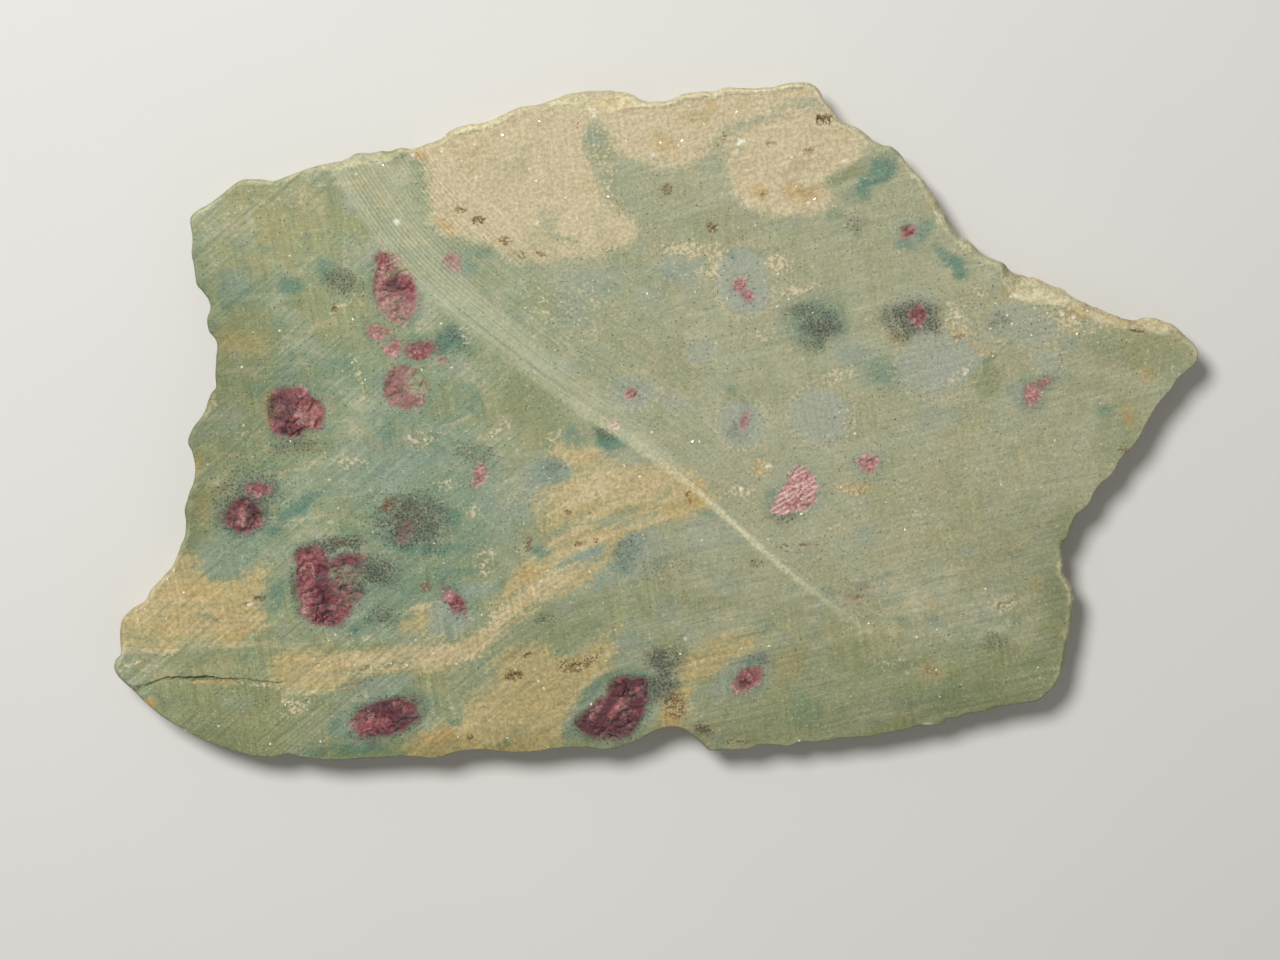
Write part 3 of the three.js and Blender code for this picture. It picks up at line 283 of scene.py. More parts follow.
# Soft stains, patches, painted shade and painted glints, one list for each tint: x, y, half widths, turn in
# degrees, strength.
stainsAndPaintedLight = {
    "veil": [
        (-28.2, 5.4, 2.0, 1.7, 0, 1.0), (-29.9, 4.6, 3.2, 3.2, 0, 0.3), (-32.4, 10.6, 2.6, 2.2, 0, 0.25),
        (-30.2, -12.8, 1.2, 1.6, 0, 0.45), (-31.9, 10.2, 0.9, 0.8, 0, 0.9), (-31.4, 14.4, 2.6, 1.6, 0, 0.35),
        (-31.2, 18.4, 1.6, 0.7, 20, 0.45), (-36.6, -18.3, 2.2, 1.4, 0, 0.7), (-30.0, 12.7, 1.0, 0.7, 0, 0.5),
        (-36.5, -20.9, 1.2, 0.8, 0, 0.5), (-30.9, -12.2, 0.5, 1.4, 0, 0.6), (-39.6, 4.2, 1.0, 0.7, 0, 0.6),
        (-29.4, 19.6, 1.2, 1.0, 0, 1.0), (24.7, -20.3, 2.8, 2.4, 0, 0.8), (-24.2, 19.4, 0.8, 0.5, 0, 0.4),
    ],
    "halo": [
        (10.6, 17.4, 3.3, 4.0, 0, 0.85), (10.3, 0.2, 2.8, 2.8, 0, 0.8), (20.0, 1.4, 3.6, 3.4, 0, 0.8),
        (5.3, 9.0, 1.6, 1.8, 0, 0.6), (2.4, 3.0, 1.4, 1.3, 0, 0.4), (33.8, 7.6, 4.8, 3.9, 10, 0.85),
        (43.6, 12.2, 4.6, 2.4, -5, 0.5), (46.8, 7.7, 2.0, 1.5, 0, 0.6), (-12.9, -5.9, 3.4, 1.9, 12, 0.2),
        (-25.0, -23.6, 2.6, 2.2, 0, 0.7), (-3.4, -15.6, 2.0, 2.8, -25, 0.3), (-2.7, 4.1, 2.7, 2.2, 0, 0.55),
    ],
    "straw": [
        (-49.0, 26.0, 9.0, 5.0, 0, 0.6), (-53.5, -8.0, 2.5, 8.0, 0, 0.7), (-33.0, 29.0, 5.0, 3.5, 0, 0.5),
        (-57.0, -29.0, 8.0, 2.5, 0, 0.6), (-50.0, -35.5, 9.0, 3.5, 0, 0.8), (-36.0, -29.0, 9.0, 2.5, 5, 0.4),
        (-40.0, -37.5, 6.0, 3.0, 0, 0.7), (-50.0, 10.0, 4.6, 2.8, 0, 1.0), (-51.3, 10.6, 2.4, 2.2, 0, 0.9),
        (-38.0, 13.0, 5.0, 2.0, 20, 0.3), (-25.0, -37.5, 5.0, 2.5, 0, 0.5), (-44.0, -24.5, 6.0, 1.6, 0, 0.5),
        (-24.0, -31.5, 5.0, 2.0, 0, 0.3), (-54.5, 4.5, 2.0, 4.0, 20, 0.6), (-52.0, 18.0, 3.0, 3.0, 0, 0.4),
        (57.0, 9.5, 6.0, 3.0, 0, 0.75), (57.0, 2.0, 2.0, 3.0, 40, 0.5), (-17.0, 0.5, 5.0, 2.5, -30, 0.5),
        (-44.0, 25.0, 9.0, 5.0, 35, 0.65), (36.0, -10.0, 10.0, 9.0, 0, 0.35),
    ],
    "teal": [
        (-50.3, 16.5, 1.6, 2.2, 0, 0.45), (-43.2, 17.0, 1.7, 1.0, 0, 0.85), (-39.5, 18.5, 1.0, 1.8, 0, 0.6),
        (-49.5, 21.5, 1.5, 1.2, 0, 0.3), (-22.3, 18.7, 1.0, 0.8, 0, 0.6), (-20.0, 21.0, 2.5, 0.9, 15, 0.5),
        (10.0, 20.6, 2.0, 0.9, 0, 0.5), (26.0, 29.6, 3.5, 1.2, 43, 1.0), (32.0, 23.5, 1.2, 1.3, 0, 0.7),
        (30.0, 21.5, 1.2, 0.6, 0, 0.6), (21.5, 25.3, 1.0, 0.7, 0, 0.5), (27.2, 6.6, 2.6, 2.0, 0, 0.6),
        (-24.6, 10.4, 2.2, 1.8, 15, 0.9), (35.2, 19.8, 2.0, 0.9, -50, 0.85), (36.3, 18.0, 0.9, 0.7, 0, 0.8),
        (39.7, 7.9, 1.4, 0.6, 30, 0.7), (53.9, 1.8, 1.1, 0.7, 0, 0.6), (53.5, 10.0, 2.0, 1.6, 0, 0.3),
        (-43.0, -9.8, 3.8, 0.8, 32, 0.8), (-46.0, -12.8, 0.8, 0.6, 0, 0.9), (-42.3, -10.0, 0.9, 0.7, 0, 0.6),
        (-36.0, -39.2, 3.2, 0.8, 0, 0.8), (-38.4, -36.5, 1.0, 1.7, 0, 0.8), (-41.5, -39.8, 1.6, 0.6, 0, 0.6),
        (-10.6, -37.2, 0.9, 1.3, 0, 0.8), (-7.6, -32.3, 2.8, 0.7, 52, 0.7), (-5.2, -1.9, 2.3, 1.2, -15, 1.0),
        (-3.5, -15.4, 1.8, 2.8, -25, 0.7), (-8.6, -15.7, 2.0, 1.0, 15, 0.7), (-12.6, -5.6, 3.0, 1.5, 14, 0.6),
        (-10.0, -1.4, 1.0, 1.4, 0, 0.6), (-24.0, -11.2, 1.3, 1.1, 0, 0.6), (-27.0, -14.9, 4.0, 0.6, 0, 0.8),
        (-23.0, -17.8, 1.8, 0.4, 5, 0.7), (-13.6, -15.1, 1.1, 0.6, 0, 0.9), (-27.5, -3.7, 1.8, 1.1, 0, 0.5),
        (-21.5, 2.5, 1.1, 1.1, 0, 0.6), (-45.6, -20.5, 0.9, 1.6, 0, 0.6), (-54.0, -23.0, 1.3, 0.8, -35, 0.9),
        (-35.5, -24.2, 1.6, 0.9, 20, 0.8), (-32.0, -1.0, 1.1, 1.3, 0, 0.7), (-47.5, 4.5, 1.3, 1.0, 0, 0.5),
        (-46.0, -5.0, 1.6, 0.6, 0, 0.4), (9.3, 4.4, 0.7, 0.6, 0, 0.5), (6.0, -10.4, 1.3, 0.6, -20, 0.6),
        (18.0, -34.5, 2.4, 2.0, 0, 0.3), (33.5, -33.0, 5.0, 1.2, 10, 0.25), (14.0, -8.3, 0.8, 1.0, 0, 0.5),
        (-24.5, -36.3, 0.9, 0.7, 0, 0.7), (-27.0, -12.0, 9.0, 10.0, 0, 0.4), (19.3, 12.6, 3.6, 3.0, 0, 0.6),
        (-35.0, -10.0, 6.0, 3.0, 20, 0.2), (-26.0, 1.0, 6.0, 5.0, 0, 0.2), (-40.0, 6.0, 6.0, 3.0, 0, 0.25),
        (-50.0, -14.0, 5.0, 4.0, 0, 0.35), (-33.0, -20.5, 6.0, 2.5, 15, 0.4),
    ],
    "blue": [
        (-33.0, -4.5, 8.0, 3.6, 15, 0.45), (-12.9, -5.9, 3.2, 1.8, 12, 0.5), (-7.3, 35.0, 1.4, 2.4, 0, 0.5),
        (-50.2, 16.8, 2.3, 1.7, 0, 0.6), (-35.7, 27.0, 1.9, 1.2, 0, 0.75), (-31.5, 22.0, 1.2, 0.9, 0, 0.4),
        (-7.5, 17.0, 1.8, 1.5, 0, 0.5), (-10.0, 14.0, 2.2, 1.7, 0, 0.5), (-0.5, 16.2, 1.5, 0.9, 0, 0.5),
        (2.5, 18.8, 1.8, 0.9, 0, 0.4), (-10.5, 6.5, 1.5, 1.2, 0, 0.4), (-21.0, 12.8, 1.2, 1.0, 0, 0.4),
        (-17.3, -11.0, 2.5, 1.7, 0, 0.55), (23.8, 8.8, 2.6, 1.5, 0, 0.7), (49.4, 9.9, 1.0, 0.8, 0, 0.6),
        (3.0, 18.8, 2.7, 1.1, 0, 0.7), (43.4, 4.0, 1.2, 1.2, 0, 0.7), (37.7, -15.2, 1.3, 0.8, 0, 0.4),
        (34.1, -24.0, 1.1, 0.6, 0, 0.5), (20.0, -27.0, 1.5, 0.8, 0, 0.25), (-52.0, -16.5, 3.4, 2.2, 0, 0.6),
        (-52.0, 0.5, 3.0, 2.0, 0, 0.4), (-55.2, -1.5, 1.3, 1.1, 0, 0.6), (-21.0, -19.8, 2.0, 1.0, 10, 0.7),
        (-32.0, -31.3, 2.8, 0.9, 10, 0.7), (-2.9, -26.6, 2.6, 1.6, 0, 0.6), (9.5, -30.8, 3.3, 1.6, 35, 0.7),
        (12.5, -28.3, 1.6, 0.8, 0, 0.7), (-1.5, -15.0, 2.5, 3.0, 0, 0.5), (-6.0, -18.5, 2.2, 1.2, 40, 0.5),
        (-8.4, -15.6, 2.2, 1.0, 15, 1.0), (6.0, -13.2, 5.0, 1.8, 12, 0.35), (1.5, -22.0, 1.3, 1.8, 0, 0.5),
        (25.4, -13.2, 1.2, 1.6, 0, 0.5), (24.8, -9.5, 1.3, 0.8, 0, 0.4), (4.2, 17.2, 1.6, 1.0, 0, 0.4),
        (-34.5, -33.0, 1.6, 1.0, 0, 0.4), (-20.5, -7.5, 1.0, 2.0, 0, 0.5), (-51.0, -33.5, 2.0, 1.0, 0, 0.4),
        (-11.0, -22.3, 1.6, 1.0, 0, 0.3), (33.0, 1.0, 2.0, 1.3, 0, 0.35), (46.0, 16.6, 1.5, 0.7, -25, 0.8),
    ],
    "dark": [
        (-37.0, 17.3, 2.2, 1.6, 0, 0.6), (19.5, 12.1, 2.1, 2.2, 0, 0.66), (20.2, 11.7, 1.1, 1.4, 0, 0.5),
        (16.9, 13.7, 1.8, 1.1, -30, 0.42), (18.3, 9.6, 1.6, 0.9, 0, 0.35), (30.2, 12.9, 3.2, 2.3, 0, 0.75),
        (-24.0, 10.0, 2.3, 2.2, 0, 0.4), (24.0, 24.0, 1.5, 1.0, 0, 0.4), (-33.3, -17.6, 2.6, 1.7, 0, 0.85),
        (-29.0, -11.4, 4.6, 3.3, -10, 0.75), (1.0, -28.4, 2.0, 1.5, 0, 0.8), (1.0, -31.5, 1.4, 2.2, -15, 0.8),
        (-13.0, -23.5, 1.5, 0.7, 20, 0.5), (41.0, -26.4, 1.9, 1.3, 0, 0.35), (-49.0, -9.0, 4.4, 3.8, 0, 0.5),
        (-43.0, -2.6, 3.0, 1.0, 0, 0.5), (-6.0, -1.2, 1.6, 0.8, -20, 0.35), (-38.0, -14.2, 2.9, 0.8, 5, 0.9),
        (15.5, -10.9, 1.6, 0.7, 0, 0.5), (43.0, 12.0, 3.5, 2.3, 0, 0.1), (55.3, 8.0, 3.0, 2.0, 0, 0.12),
        (41.0, 12.2, 1.5, 1.1, 0, 0.3), (-6.4, -0.7, 1.2, 0.5, -25, 0.4), (-48.0, -3.0, 3.2, 2.2, 0, 0.12),
        (-3.6, -15.0, 1.5, 2.4, -25, 0.45), (-33.0, -22.9, 2.1, 1.3, 0, 0.5), (-22.0, -3.0, 3.0, 1.3, 0, 0.4),
        (12.0, -16.6, 1.2, 0.8, 0, 0.4), (6.0, -37.3, 1.3, 0.9, 0, 0.5), (-35.8, -19.6, 1.2, 0.8, 0, 0.6),
        (33.3, 12.2, 1.2, 1.8, 0, 0.5), (-36.0, -31.5, 2.0, 0.7, 20, 0.4), (9.0, -0.4, 0.8, 1.1, 0, 0.5),
        (12.3, -28.5, 1.6, 0.7, 0, 0.5), (-43.6, -19.5, 0.4, 2.5, 0, 0.5), (2.0, -17.0, 4.0, 1.5, 10, 0.25),
        (-12.0, -5.0, 1.6, 0.8, 0, 0.3),
    ],
    "rust": [
        (20.0, 36.5, 1.05, 0.8, 0, 1.0), (-15.5, 20.6, 2.6, 0.7, -8, 0.5), (-23.2, 25.6, 0.8, 0.45, 0, 0.9),
        (-21.0, 24.6, 0.9, 0.5, 0, 0.9), (-17.7, 22.1, 0.9, 0.5, 0, 0.9), (-16.0, 20.4, 0.9, 0.4, 0, 0.9),
        (-13.5, 20.7, 0.8, 0.4, 0, 0.8), (-5.8, 21.0, 0.7, 0.4, 0, 0.8), (1.5, 27.9, 0.7, 0.9, -30, 0.8),
        (-1.2, 25.3, 0.5, 0.5, 0, 0.6), (6.6, 23.7, 0.7, 0.6, 0, 0.9), (-5.0, 10.4, 2.0, 0.5, 0, 0.5),
        (57.5, 11.9, 1.1, 0.55, -30, 1.0), (51.6, 13.8, 0.6, 0.5, 0, 1.0), (36.2, 10.8, 1.1, 0.5, 0, 0.8),
        (56.1, -2.8, 0.7, 0.5, 0, 0.9), (51.0, -9.7, 0.9, 0.4, 0, 0.6), (33.5, -29.8, 1.8, 0.8, 10, 0.6),
        (29.0, -29.0, 1.2, 0.5, 0, 0.5), (5.6, -36.9, 1.4, 1.2, 0, 0.9), (10.5, -38.5, 2.8, 0.5, 5, 0.8),
        (2.4, -34.0, 1.5, 1.9, -20, 0.9), (-29.8, -10.6, 3.4, 2.6, -10, 0.55),
        (0.1, -33.3, 0.7, 1.6, -10, 0.5), (-9.4, -29.0, 3.2, 0.9, 14, 0.8), (-6.6, -27.4, 0.7, 1.2, -20, 0.6),
        (-17.0, -30.4, 1.3, 1.1, 0, 0.85), (-15.4, -27.8, 0.9, 0.4, 20, 0.8),
        (-20.5, -34.5, 0.7, 0.3, 20, 0.7), (-22.3, -38.0, 0.6, 0.35, 0, 0.9),
        (-47.6, -20.9, 1.0, 0.5, 0, 1.0), (-48.4, -18.4, 1.0, 0.8, 0, 0.5), (-38.1, 14.0, 0.5, 0.4, 0, 0.8),
        (-32.0, -9.3, 1.0, 0.9, 0, 0.9), (-37.8, -14.2, 2.2, 0.35, 5, 0.85), (-63.2, -31.7, 0.8, 0.6, 0, 0.8),
        (-40.2, -37.4, 0.5, 0.9, 15, 0.7), (-15.1, -14.4, 0.5, 1.0, 0, 1.0), (-16.3, -15.6, 1.2, 1.6, 0, 0.6),
        (-46.0, 2.6, 0.9, 2.0, 0, 0.6), (-43.2, -20.5, 0.5, 2.4, 0, 0.6), (-36.8, -18.5, 1.6, 0.9, 0, 0.5),
        (17.0, -14.4, 3.1, 0.35, 2, 0.8), (19.9, -16.3, 0.4, 1.1, 0, 0.6), (12.3, -16.0, 0.7, 1.0, 0, 0.45),
        (-27.5, -19.3, 1.1, 0.8, 30, 0.85), (-30.2, -20.0, 0.7, 0.4, 0, 0.5), (-9.2, 35.4, 0.4, 0.8, 0, 0.6),
        (7.9, 34.1, 1.3, 0.28, 50, 0.9), (18.2, 32.7, 1.0, 0.45, 20, 0.6), (14.0, 33.4, 0.8, 0.3, 60, 0.4),
        (12.9, 27.6, 0.5, 0.5, 0, 0.6), (-6.8, 37.7, 0.9, 0.3, 0, 0.8), (4.2, 36.3, 0.5, 0.35, 0, 0.7),
        (-8.8, -2.2, 1.0, 1.0, 0, 0.4), (54.3, 7.4, 0.5, 0.4, 0, 0.4), (-46.5, -1.0, 0.4, 1.2, 0, 0.4),
        (3.7, -8.2, 0.5, 0.4, 0, 1.0), (4.1, -8.9, 0.45, 0.35, 0, 1.0), (-10.6, -10.4, 0.6, 0.35, 0, 1.0),
        (-7.9, -10.5, 0.45, 0.35, 0, 1.0), (-7.2, -13.7, 0.5, 0.35, 0, 1.0), (-9.2, -14.3, 0.7, 0.3, 10, 0.9),
        (8.5, -19.0, 1.6, 0.6, 5, 0.3), (52.8, 3.1, 0.8, 0.3, 0, 0.5),
    ],
    "ochre": [
        (-48.8, 10.2, 2.0, 1.1, 0, 0.45), (-51.6, 10.2, 1.7, 1.9, 0, 0.35), (-46.0, 2.4, 1.0, 2.2, 0, 0.8),
        (-27.9, 32.2, 1.0, 0.6, 0, 1.0), (-25.0, 24.0, 1.4, 0.8, -20, 0.8), (12.4, 28.0, 1.3, 0.9, 0, 0.9),
        (17.3, 27.8, 2.4, 1.1, 0, 0.8), (-5.5, 38.4, 2.5, 0.8, 0, 1.0), (1.0, 33.6, 1.6, 1.0, 0, 0.55),
        (6.6, 38.4, 0.9, 1.0, 0, 0.6), (4.8, -8.4, 1.8, 1.4, -40, 1.0), (33.4, -29.9, 1.9, 1.0, 5, 0.38),
        (15.5, -29.0, 2.4, 2.0, 20, 0.3), (-8.4, -3.9, 1.6, 0.9, 0, 0.25), (-15.2, -17.8, 1.4, 0.6, 10, 0.9),
        (-26.0, -38.0, 3.0, 1.1, 10, 0.9), (-24.0, -39.8, 8.0, 1.6, 0, 0.45), (56.8, 1.5, 0.8, 1.3, 0, 0.8),
        (58.6, 6.1, 0.9, 1.2, 0, 0.5), (45.8, -18.9, 1.0, 0.5, 0, 0.5), (-61.3, -33.8, 0.9, 0.8, 0, 1.0),
        (1.8, -35.8, 1.2, 1.0, 0, 0.9), (-56.5, -22.0, 5.0, 3.5, 0, 0.4), (-2.0, -7.2, 2.8, 1.9, 0, 0.25),
        (2.0, -10.1, 2.2, 0.8, 0, 0.35), (-41.0, -28.9, 3.8, 0.8, 0, 0.5), (-53.3, -31.2, 2.5, 0.3, 0, 0.7),
        (42.8, 15.9, 1.4, 0.8, -20, 0.7), (50.4, 13.7, 1.7, 0.6, -12, 1.0), (55.5, 12.8, 2.1, 0.5, -10, 0.9),
        (59.5, 12.2, 2.6, 0.7, 0, 0.5), (36.0, 11.3, 1.2, 1.0, 0, 0.4), (-46.3, 0.6, 0.4, 1.3, 0, 0.8),
        (-54.7, -4.4, 0.8, 1.6, 0, 0.6), (-54.3, -9.8, 0.8, 1.4, 0, 0.5), (28.5, 10.6, 1.2, 0.6, 0, 0.4),
        (24.4, -7.4, 2.2, 0.6, 0, 0.7), (4.5, 36.5, 2.2, 0.8, 10, 0.4), (-22.0, 33.0, 2.5, 1.0, 20, 0.35),
        (-50.5, -25.2, 2.2, 0.7, 15, 0.5), (-15.0, -33.0, 4.0, 3.0, 0, 0.25), (39.0, 9.2, 2.0, 0.7, -20, 0.4),
        (37.3, 16.0, 1.2, 0.9, 0, 0.45), (33.0, 26.8, 1.0, 0.6, -50, 0.4), (13.0, -5.0, 1.2, 0.9, 0, 0.6),
    ],
    "tan": [
        (-36.5, -29.0, 7.0, 1.3, 2, 0.8), (-26.5, -28.0, 6.0, 1.5, 3, 1.0), (-19.5, -24.2, 4.0, 1.5, 50, 0.9),
        (-13.5, -19.4, 4.0, 1.5, 35, 0.7), (-59.0, -20.5, 4.0, 2.0, 45, 0.4), (-4.5, -6.8, 6.5, 1.9, 5, 0.6),
        (-9.5, -12.0, 3.5, 0.8, 25, 0.6), (3.6, 21.2, 4.2, 0.9, -5, 1.0), (7.4, 19.6, 1.1, 2.0, 0, 0.9),
        (4.5, 18.6, 2.5, 0.5, 5, 0.6), (13.4, 11.2, 1.8, 0.8, 10, 0.6), (14.6, 19.4, 1.7, 1.0, 0, 0.95),
        (22.3, 6.2, 1.9, 1.1, 0, 0.8), (16.8, 16.3, 2.4, 0.7, 8, 0.9), (23.0, 1.0, 0.5, 2.8, -12, 0.6),
        (46.5, 15.8, 4.6, 1.0, -18, 1.0), (53.3, 13.8, 3.6, 0.8, -15, 1.0), (60.2, 12.4, 3.4, 0.8, -8, 0.9),
        (-22.2, 11.2, 1.2, 1.3, 0, 0.6), (13.0, -4.9, 1.3, 1.0, 0, 0.9), (10.2, -7.8, 2.2, 0.6, 5, 0.9),
        (23.8, -7.6, 2.7, 0.7, 0, 0.9), (20.2, -2.0, 1.9, 0.4, 8, 0.6), (36.0, 12.4, 1.9, 2.4, 0, 0.75),
        (38.5, 16.0, 1.8, 1.1, 0, 0.8), (49.4, 12.4, 1.3, 1.0, 0, 1.0), (36.2, 6.0, 1.9, 0.5, 38, 0.9),
        (42.0, -21.6, 2.1, 1.4, 0, 0.65), (31.5, -10.5, 1.4, 0.7, 0, 0.5), (34.6, 24.4, 1.2, 1.2, 0, 0.8),
        (37.5, 21.3, 1.3, 1.0, 0, 0.8), (-37.3, -4.2, 2.5, 0.9, 5, 0.6), (-28.0, -1.2, 2.1, 0.8, 0, 0.7),
        (-18.7, -0.5, 1.9, 0.7, 22, 0.9), (-12.0, -1.6, 0.9, 1.2, 0, 0.8), (-20.6, -16.0, 1.2, 2.4, -10, 0.6),
        (-21.7, -10.4, 0.9, 0.8, 0, 0.7), (-25.3, -7.0, 1.2, 0.7, 0, 0.7), (-37.6, 14.4, 1.9, 0.5, 32, 0.7),
        (-36.0, 7.0, 0.5, 1.8, 20, 0.6), (-34.9, 4.3, 0.5, 1.6, 10, 0.6), (-35.5, -25.5, 3.0, 0.4, -8, 0.5),
        (-63.0, -28.9, 2.8, 0.25, 25, 0.8), (-59.0, -27.9, 1.8, 0.22, 12, 0.7),
        (-47.0, -31.6, 3.2, 0.3, -3, 0.9), (-55.0, -31.2, 2.2, 0.25, 0, 0.8), (-53.0, 2.5, 0.9, 1.4, 30, 0.6),
        (-54.8, -5.0, 0.6, 1.6, 0, 0.6), (-17.0, -9.0, 1.3, 1.2, 0, 0.5), (-16.5, -11.7, 1.2, 0.6, 0, 0.5),
        (-48.7, -2.0, 0.9, 2.0, 20, 0.4), (-5.0, -24.7, 2.6, 0.4, 25, 0.5), (-34.5, -32.3, 2.2, 0.4, 20, 0.5),
        (-24.5, -34.8, 1.2, 0.8, 0, 0.4), (40.5, 10.0, 1.5, 0.8, 0, 0.4), (58.8, 6.3, 1.2, 1.4, 0, 0.5),
        (62.5, 6.6, 0.8, 0.8, 0, 0.6), (30.8, 25.0, 1.4, 0.7, 0, 0.4), (5.0, 6.8, 0.5, 0.8, 0, 0.4),
        (0.0, 3.0, 0.8, 1.2, 0, 0.4), (34.5, -8.0, 1.2, 0.8, 0, 0.35), (4.8, -18.6, 0.4, 1.3, 0, 0.4),
        (22.0, -12.3, 1.2, 0.5, 20, 0.5), (19.5, -3.4, 1.0, 0.5, 0, 0.4), (-6.0, 31.0, 1.3, 5.0, 14, 0.55),
        (-43.5, -33.8, 2.4, 1.0, 8, 1.0), (-11.0, 14.5, 6.0, 4.0, 0, 0.35), (-43.5, 27.2, 2.6, 1.2, 25, 0.35),
        (-48.5, 26.6, 3.0, 0.9, 30, 0.35), (28.6, -28.8, 2.8, 1.2, 0, 0.45), (51.0, 13.0, 5.0, 3.0, -12, 0.5),
        (-46.0, -35.5, 3.0, 0.5, 0, 0.4),
    ],
    "olive": [
        (-13.0, -24.2, 7.0, 3.2, 22, 0.6), (18.0, -31.0, 10.0, 4.0, 5, 0.35),
        (36.0, -30.0, 10.0, 4.5, 8, 0.55), (-15.0, 2.4, 5.0, 3.0, -35, 0.75), (39.7, 5.6, 1.9, 2.0, 0, 0.8),
        (-19.0, -38.9, 2.2, 0.8, 0, 0.8), (49.3, -12.0, 1.5, 3.0, 0, 0.6), (48.5, -22.5, 2.0, 5.0, 0, 0.6),
        (42.0, -31.0, 9.0, 4.0, 10, 0.8), (-4.0, -10.3, 2.2, 0.7, 12, 0.7), (-18.0, -19.5, 1.0, 1.8, 0, 0.7),
        (14.0, -35.5, 8.0, 3.0, 0, 0.7), (22.3, 29.7, 2.8, 0.9, 20, 0.8), (-56.0, -27.8, 5.0, 1.2, 5, 0.4),
        (-48.0, -2.5, 4.0, 3.5, 0, 0.5), (-50.0, -35.0, 10.0, 4.0, 0, 0.85), (-56.0, -13.5, 1.1, 3.0, 0, 0.5),
        (42.2, 18.9, 1.5, 0.6, -30, 1.0), (43.8, 17.8, 1.0, 0.5, 0, 0.8), (55.5, -1.0, 3.0, 4.0, 0, 0.35),
        (59.5, 8.5, 4.0, 2.6, 0, 0.4), (-31.0, 32.0, 1.5, 0.8, 0, 0.6), (-14.0, -12.5, 3.0, 2.0, 20, 0.3),
        (20.0, -31.0, 12.0, 5.0, 5, 0.55), (-28.0, -33.0, 4.0, 2.5, 0, 0.4), (52.0, 5.0, 2.6, 1.0, 0, 0.5),
        (-23.0, -31.0, 3.0, 2.0, 0, 0.3), (-2.0, -20.5, 5.0, 2.5, 0, 0.35), (3.0, 8.0, 4.0, 3.0, 0, 0.3),
        (8.0, 24.0, 5.0, 2.0, 0, 0.2), (12.0, 4.0, 3.5, 1.5, 0, 0.3), (-8.5, -24.5, 4.0, 1.0, 20, 0.4),
    ],
    # painted shade: the colour darkened towards the lower and left rims and over the lower half
    "paintedShade": [
        (31.0, -39.0, 17.0, 5.0, 9.5, 1.0), (5.0, -41.5, 9.0, 5.0, 0, 0.9), (-14.0, -42.0, 16.0, 4.5, 2, 0.9),
        (-36.0, -42.5, 14.0, 4.0, 0, 1.0), (-53.0, -40.5, 8.0, 3.0, -22, 0.7),
        (-56.0, 8.5, 8.0, 10.0, 0, 0.85), (-58.5, -7.0, 6.5, 9.0, 0, 0.9), (53.5, -24.0, 6.0, 9.0, 0, 0.5),
        (-46.0, 7.0, 9.0, 8.0, 0, 0.28), (-12.0, -30.0, 14.0, 5.0, 0, 0.25),
        (-38.0, -27.0, 13.0, 4.0, 0, 0.25), (8.0, -24.0, 12.0, 6.0, 5, 0.25),
        (46.0, -16.0, 7.0, 6.0, 0, 0.35),
    ],
    # painted glints: small mica-white spots painted on the face where flakes catch the light
    "paintedGlint": [
        (-30.7, 24.3, 0.35, 0.3, 0, 1.0), (-48.9, -21.6, 0.3, 0.2, 20, 1.0), (-21.3, 29.6, 0.25, 0.2, 0, 1.0),
        (-14.0, 24.3, 0.25, 0.2, 0, 1.0), (10.1, 33.8, 0.5, 0.25, 15, 1.0), (3.7, -25.7, 0.2, 0.18, 0, 1.0),
        (33.0, -36.4, 0.5, 0.35, 0, 1.0), (43.0, 15.8, 0.5, 0.4, 0, 1.0), (49.9, 13.1, 0.35, 0.22, 30, 1.0),
        (36.1, 13.1, 0.22, 0.2, 0, 1.0), (37.1, 6.4, 0.22, 0.2, 0, 1.0), (13.7, -4.7, 0.35, 0.2, 20, 1.0),
        (10.4, -7.6, 0.3, 0.2, 0, 0.9), (-28.7, 32.2, 0.22, 0.2, 0, 1.0), (-7.3, 36.9, 0.25, 0.2, 0, 1.0),
        (1.0, 31.1, 0.22, 0.18, 0, 0.9), (22.3, 31.5, 0.22, 0.18, 0, 0.9), (-39.0, -11.7, 0.2, 0.15, 0, 0.6),
        (41.7, -22.6, 0.22, 0.15, 0, 0.9), (35.0, 14.6, 0.25, 0.15, 0, 0.8), (-0.3, 32.3, 0.22, 0.18, 0, 0.9),
        (9.5, 32.6, 0.22, 0.18, 0, 0.8), (48.5, 13.5, 0.22, 0.18, 0, 0.9),
    ],
}


# One number from 0 to 1 for each corner of a lattice, without order.
def lattice(i, j, k):
    wave = np.sin(i * 127.1 + j * 311.7 + k * 74.7) * 43758.5453
    return wave - np.floor(wave)


# Smooth noise from 0 to 1 over a lattice one unit wide.
def noise(x, y, z=0.0):
    x, y, z = np.broadcast_arrays(np.asarray(x, float), y, z)
    corner = [np.floor(x), np.floor(y), np.floor(z)]
    blend = [t * t * (3 - 2 * t) for t in (x - corner[0], y - corner[1], z - corner[2])]
    total = np.zeros(x.shape)
    for n in range(8):
        step = (n & 1, n >> 1 & 1, n >> 2 & 1)
        weight = np.ones(x.shape)
        for axis in range(3):
            weight = weight * (blend[axis] if step[axis] else 1 - blend[axis])
        total += weight * lattice(corner[0] + step[0], corner[1] + step[1], corner[2] + step[2])
    return total


# Three octaves of that noise, still about 0 to 1.
def roughNoise(x, y, z, grain, seed):
    total = noise(x / grain + seed, y / grain - seed, z / grain) * 0.55
    total += noise(x / grain * 2.1 - seed, y / grain * 2.1, z / grain * 2.1 + seed) * 0.3
    return total + noise(x / grain * 4.3, y / grain * 4.3 + seed, z / grain * 4.3) * 0.15


def smooth(value, low=0.0, high=1.0):
    t = np.clip((value - low) / (high - low), 0, 1)
    return t * t * (3 - 2 * t)


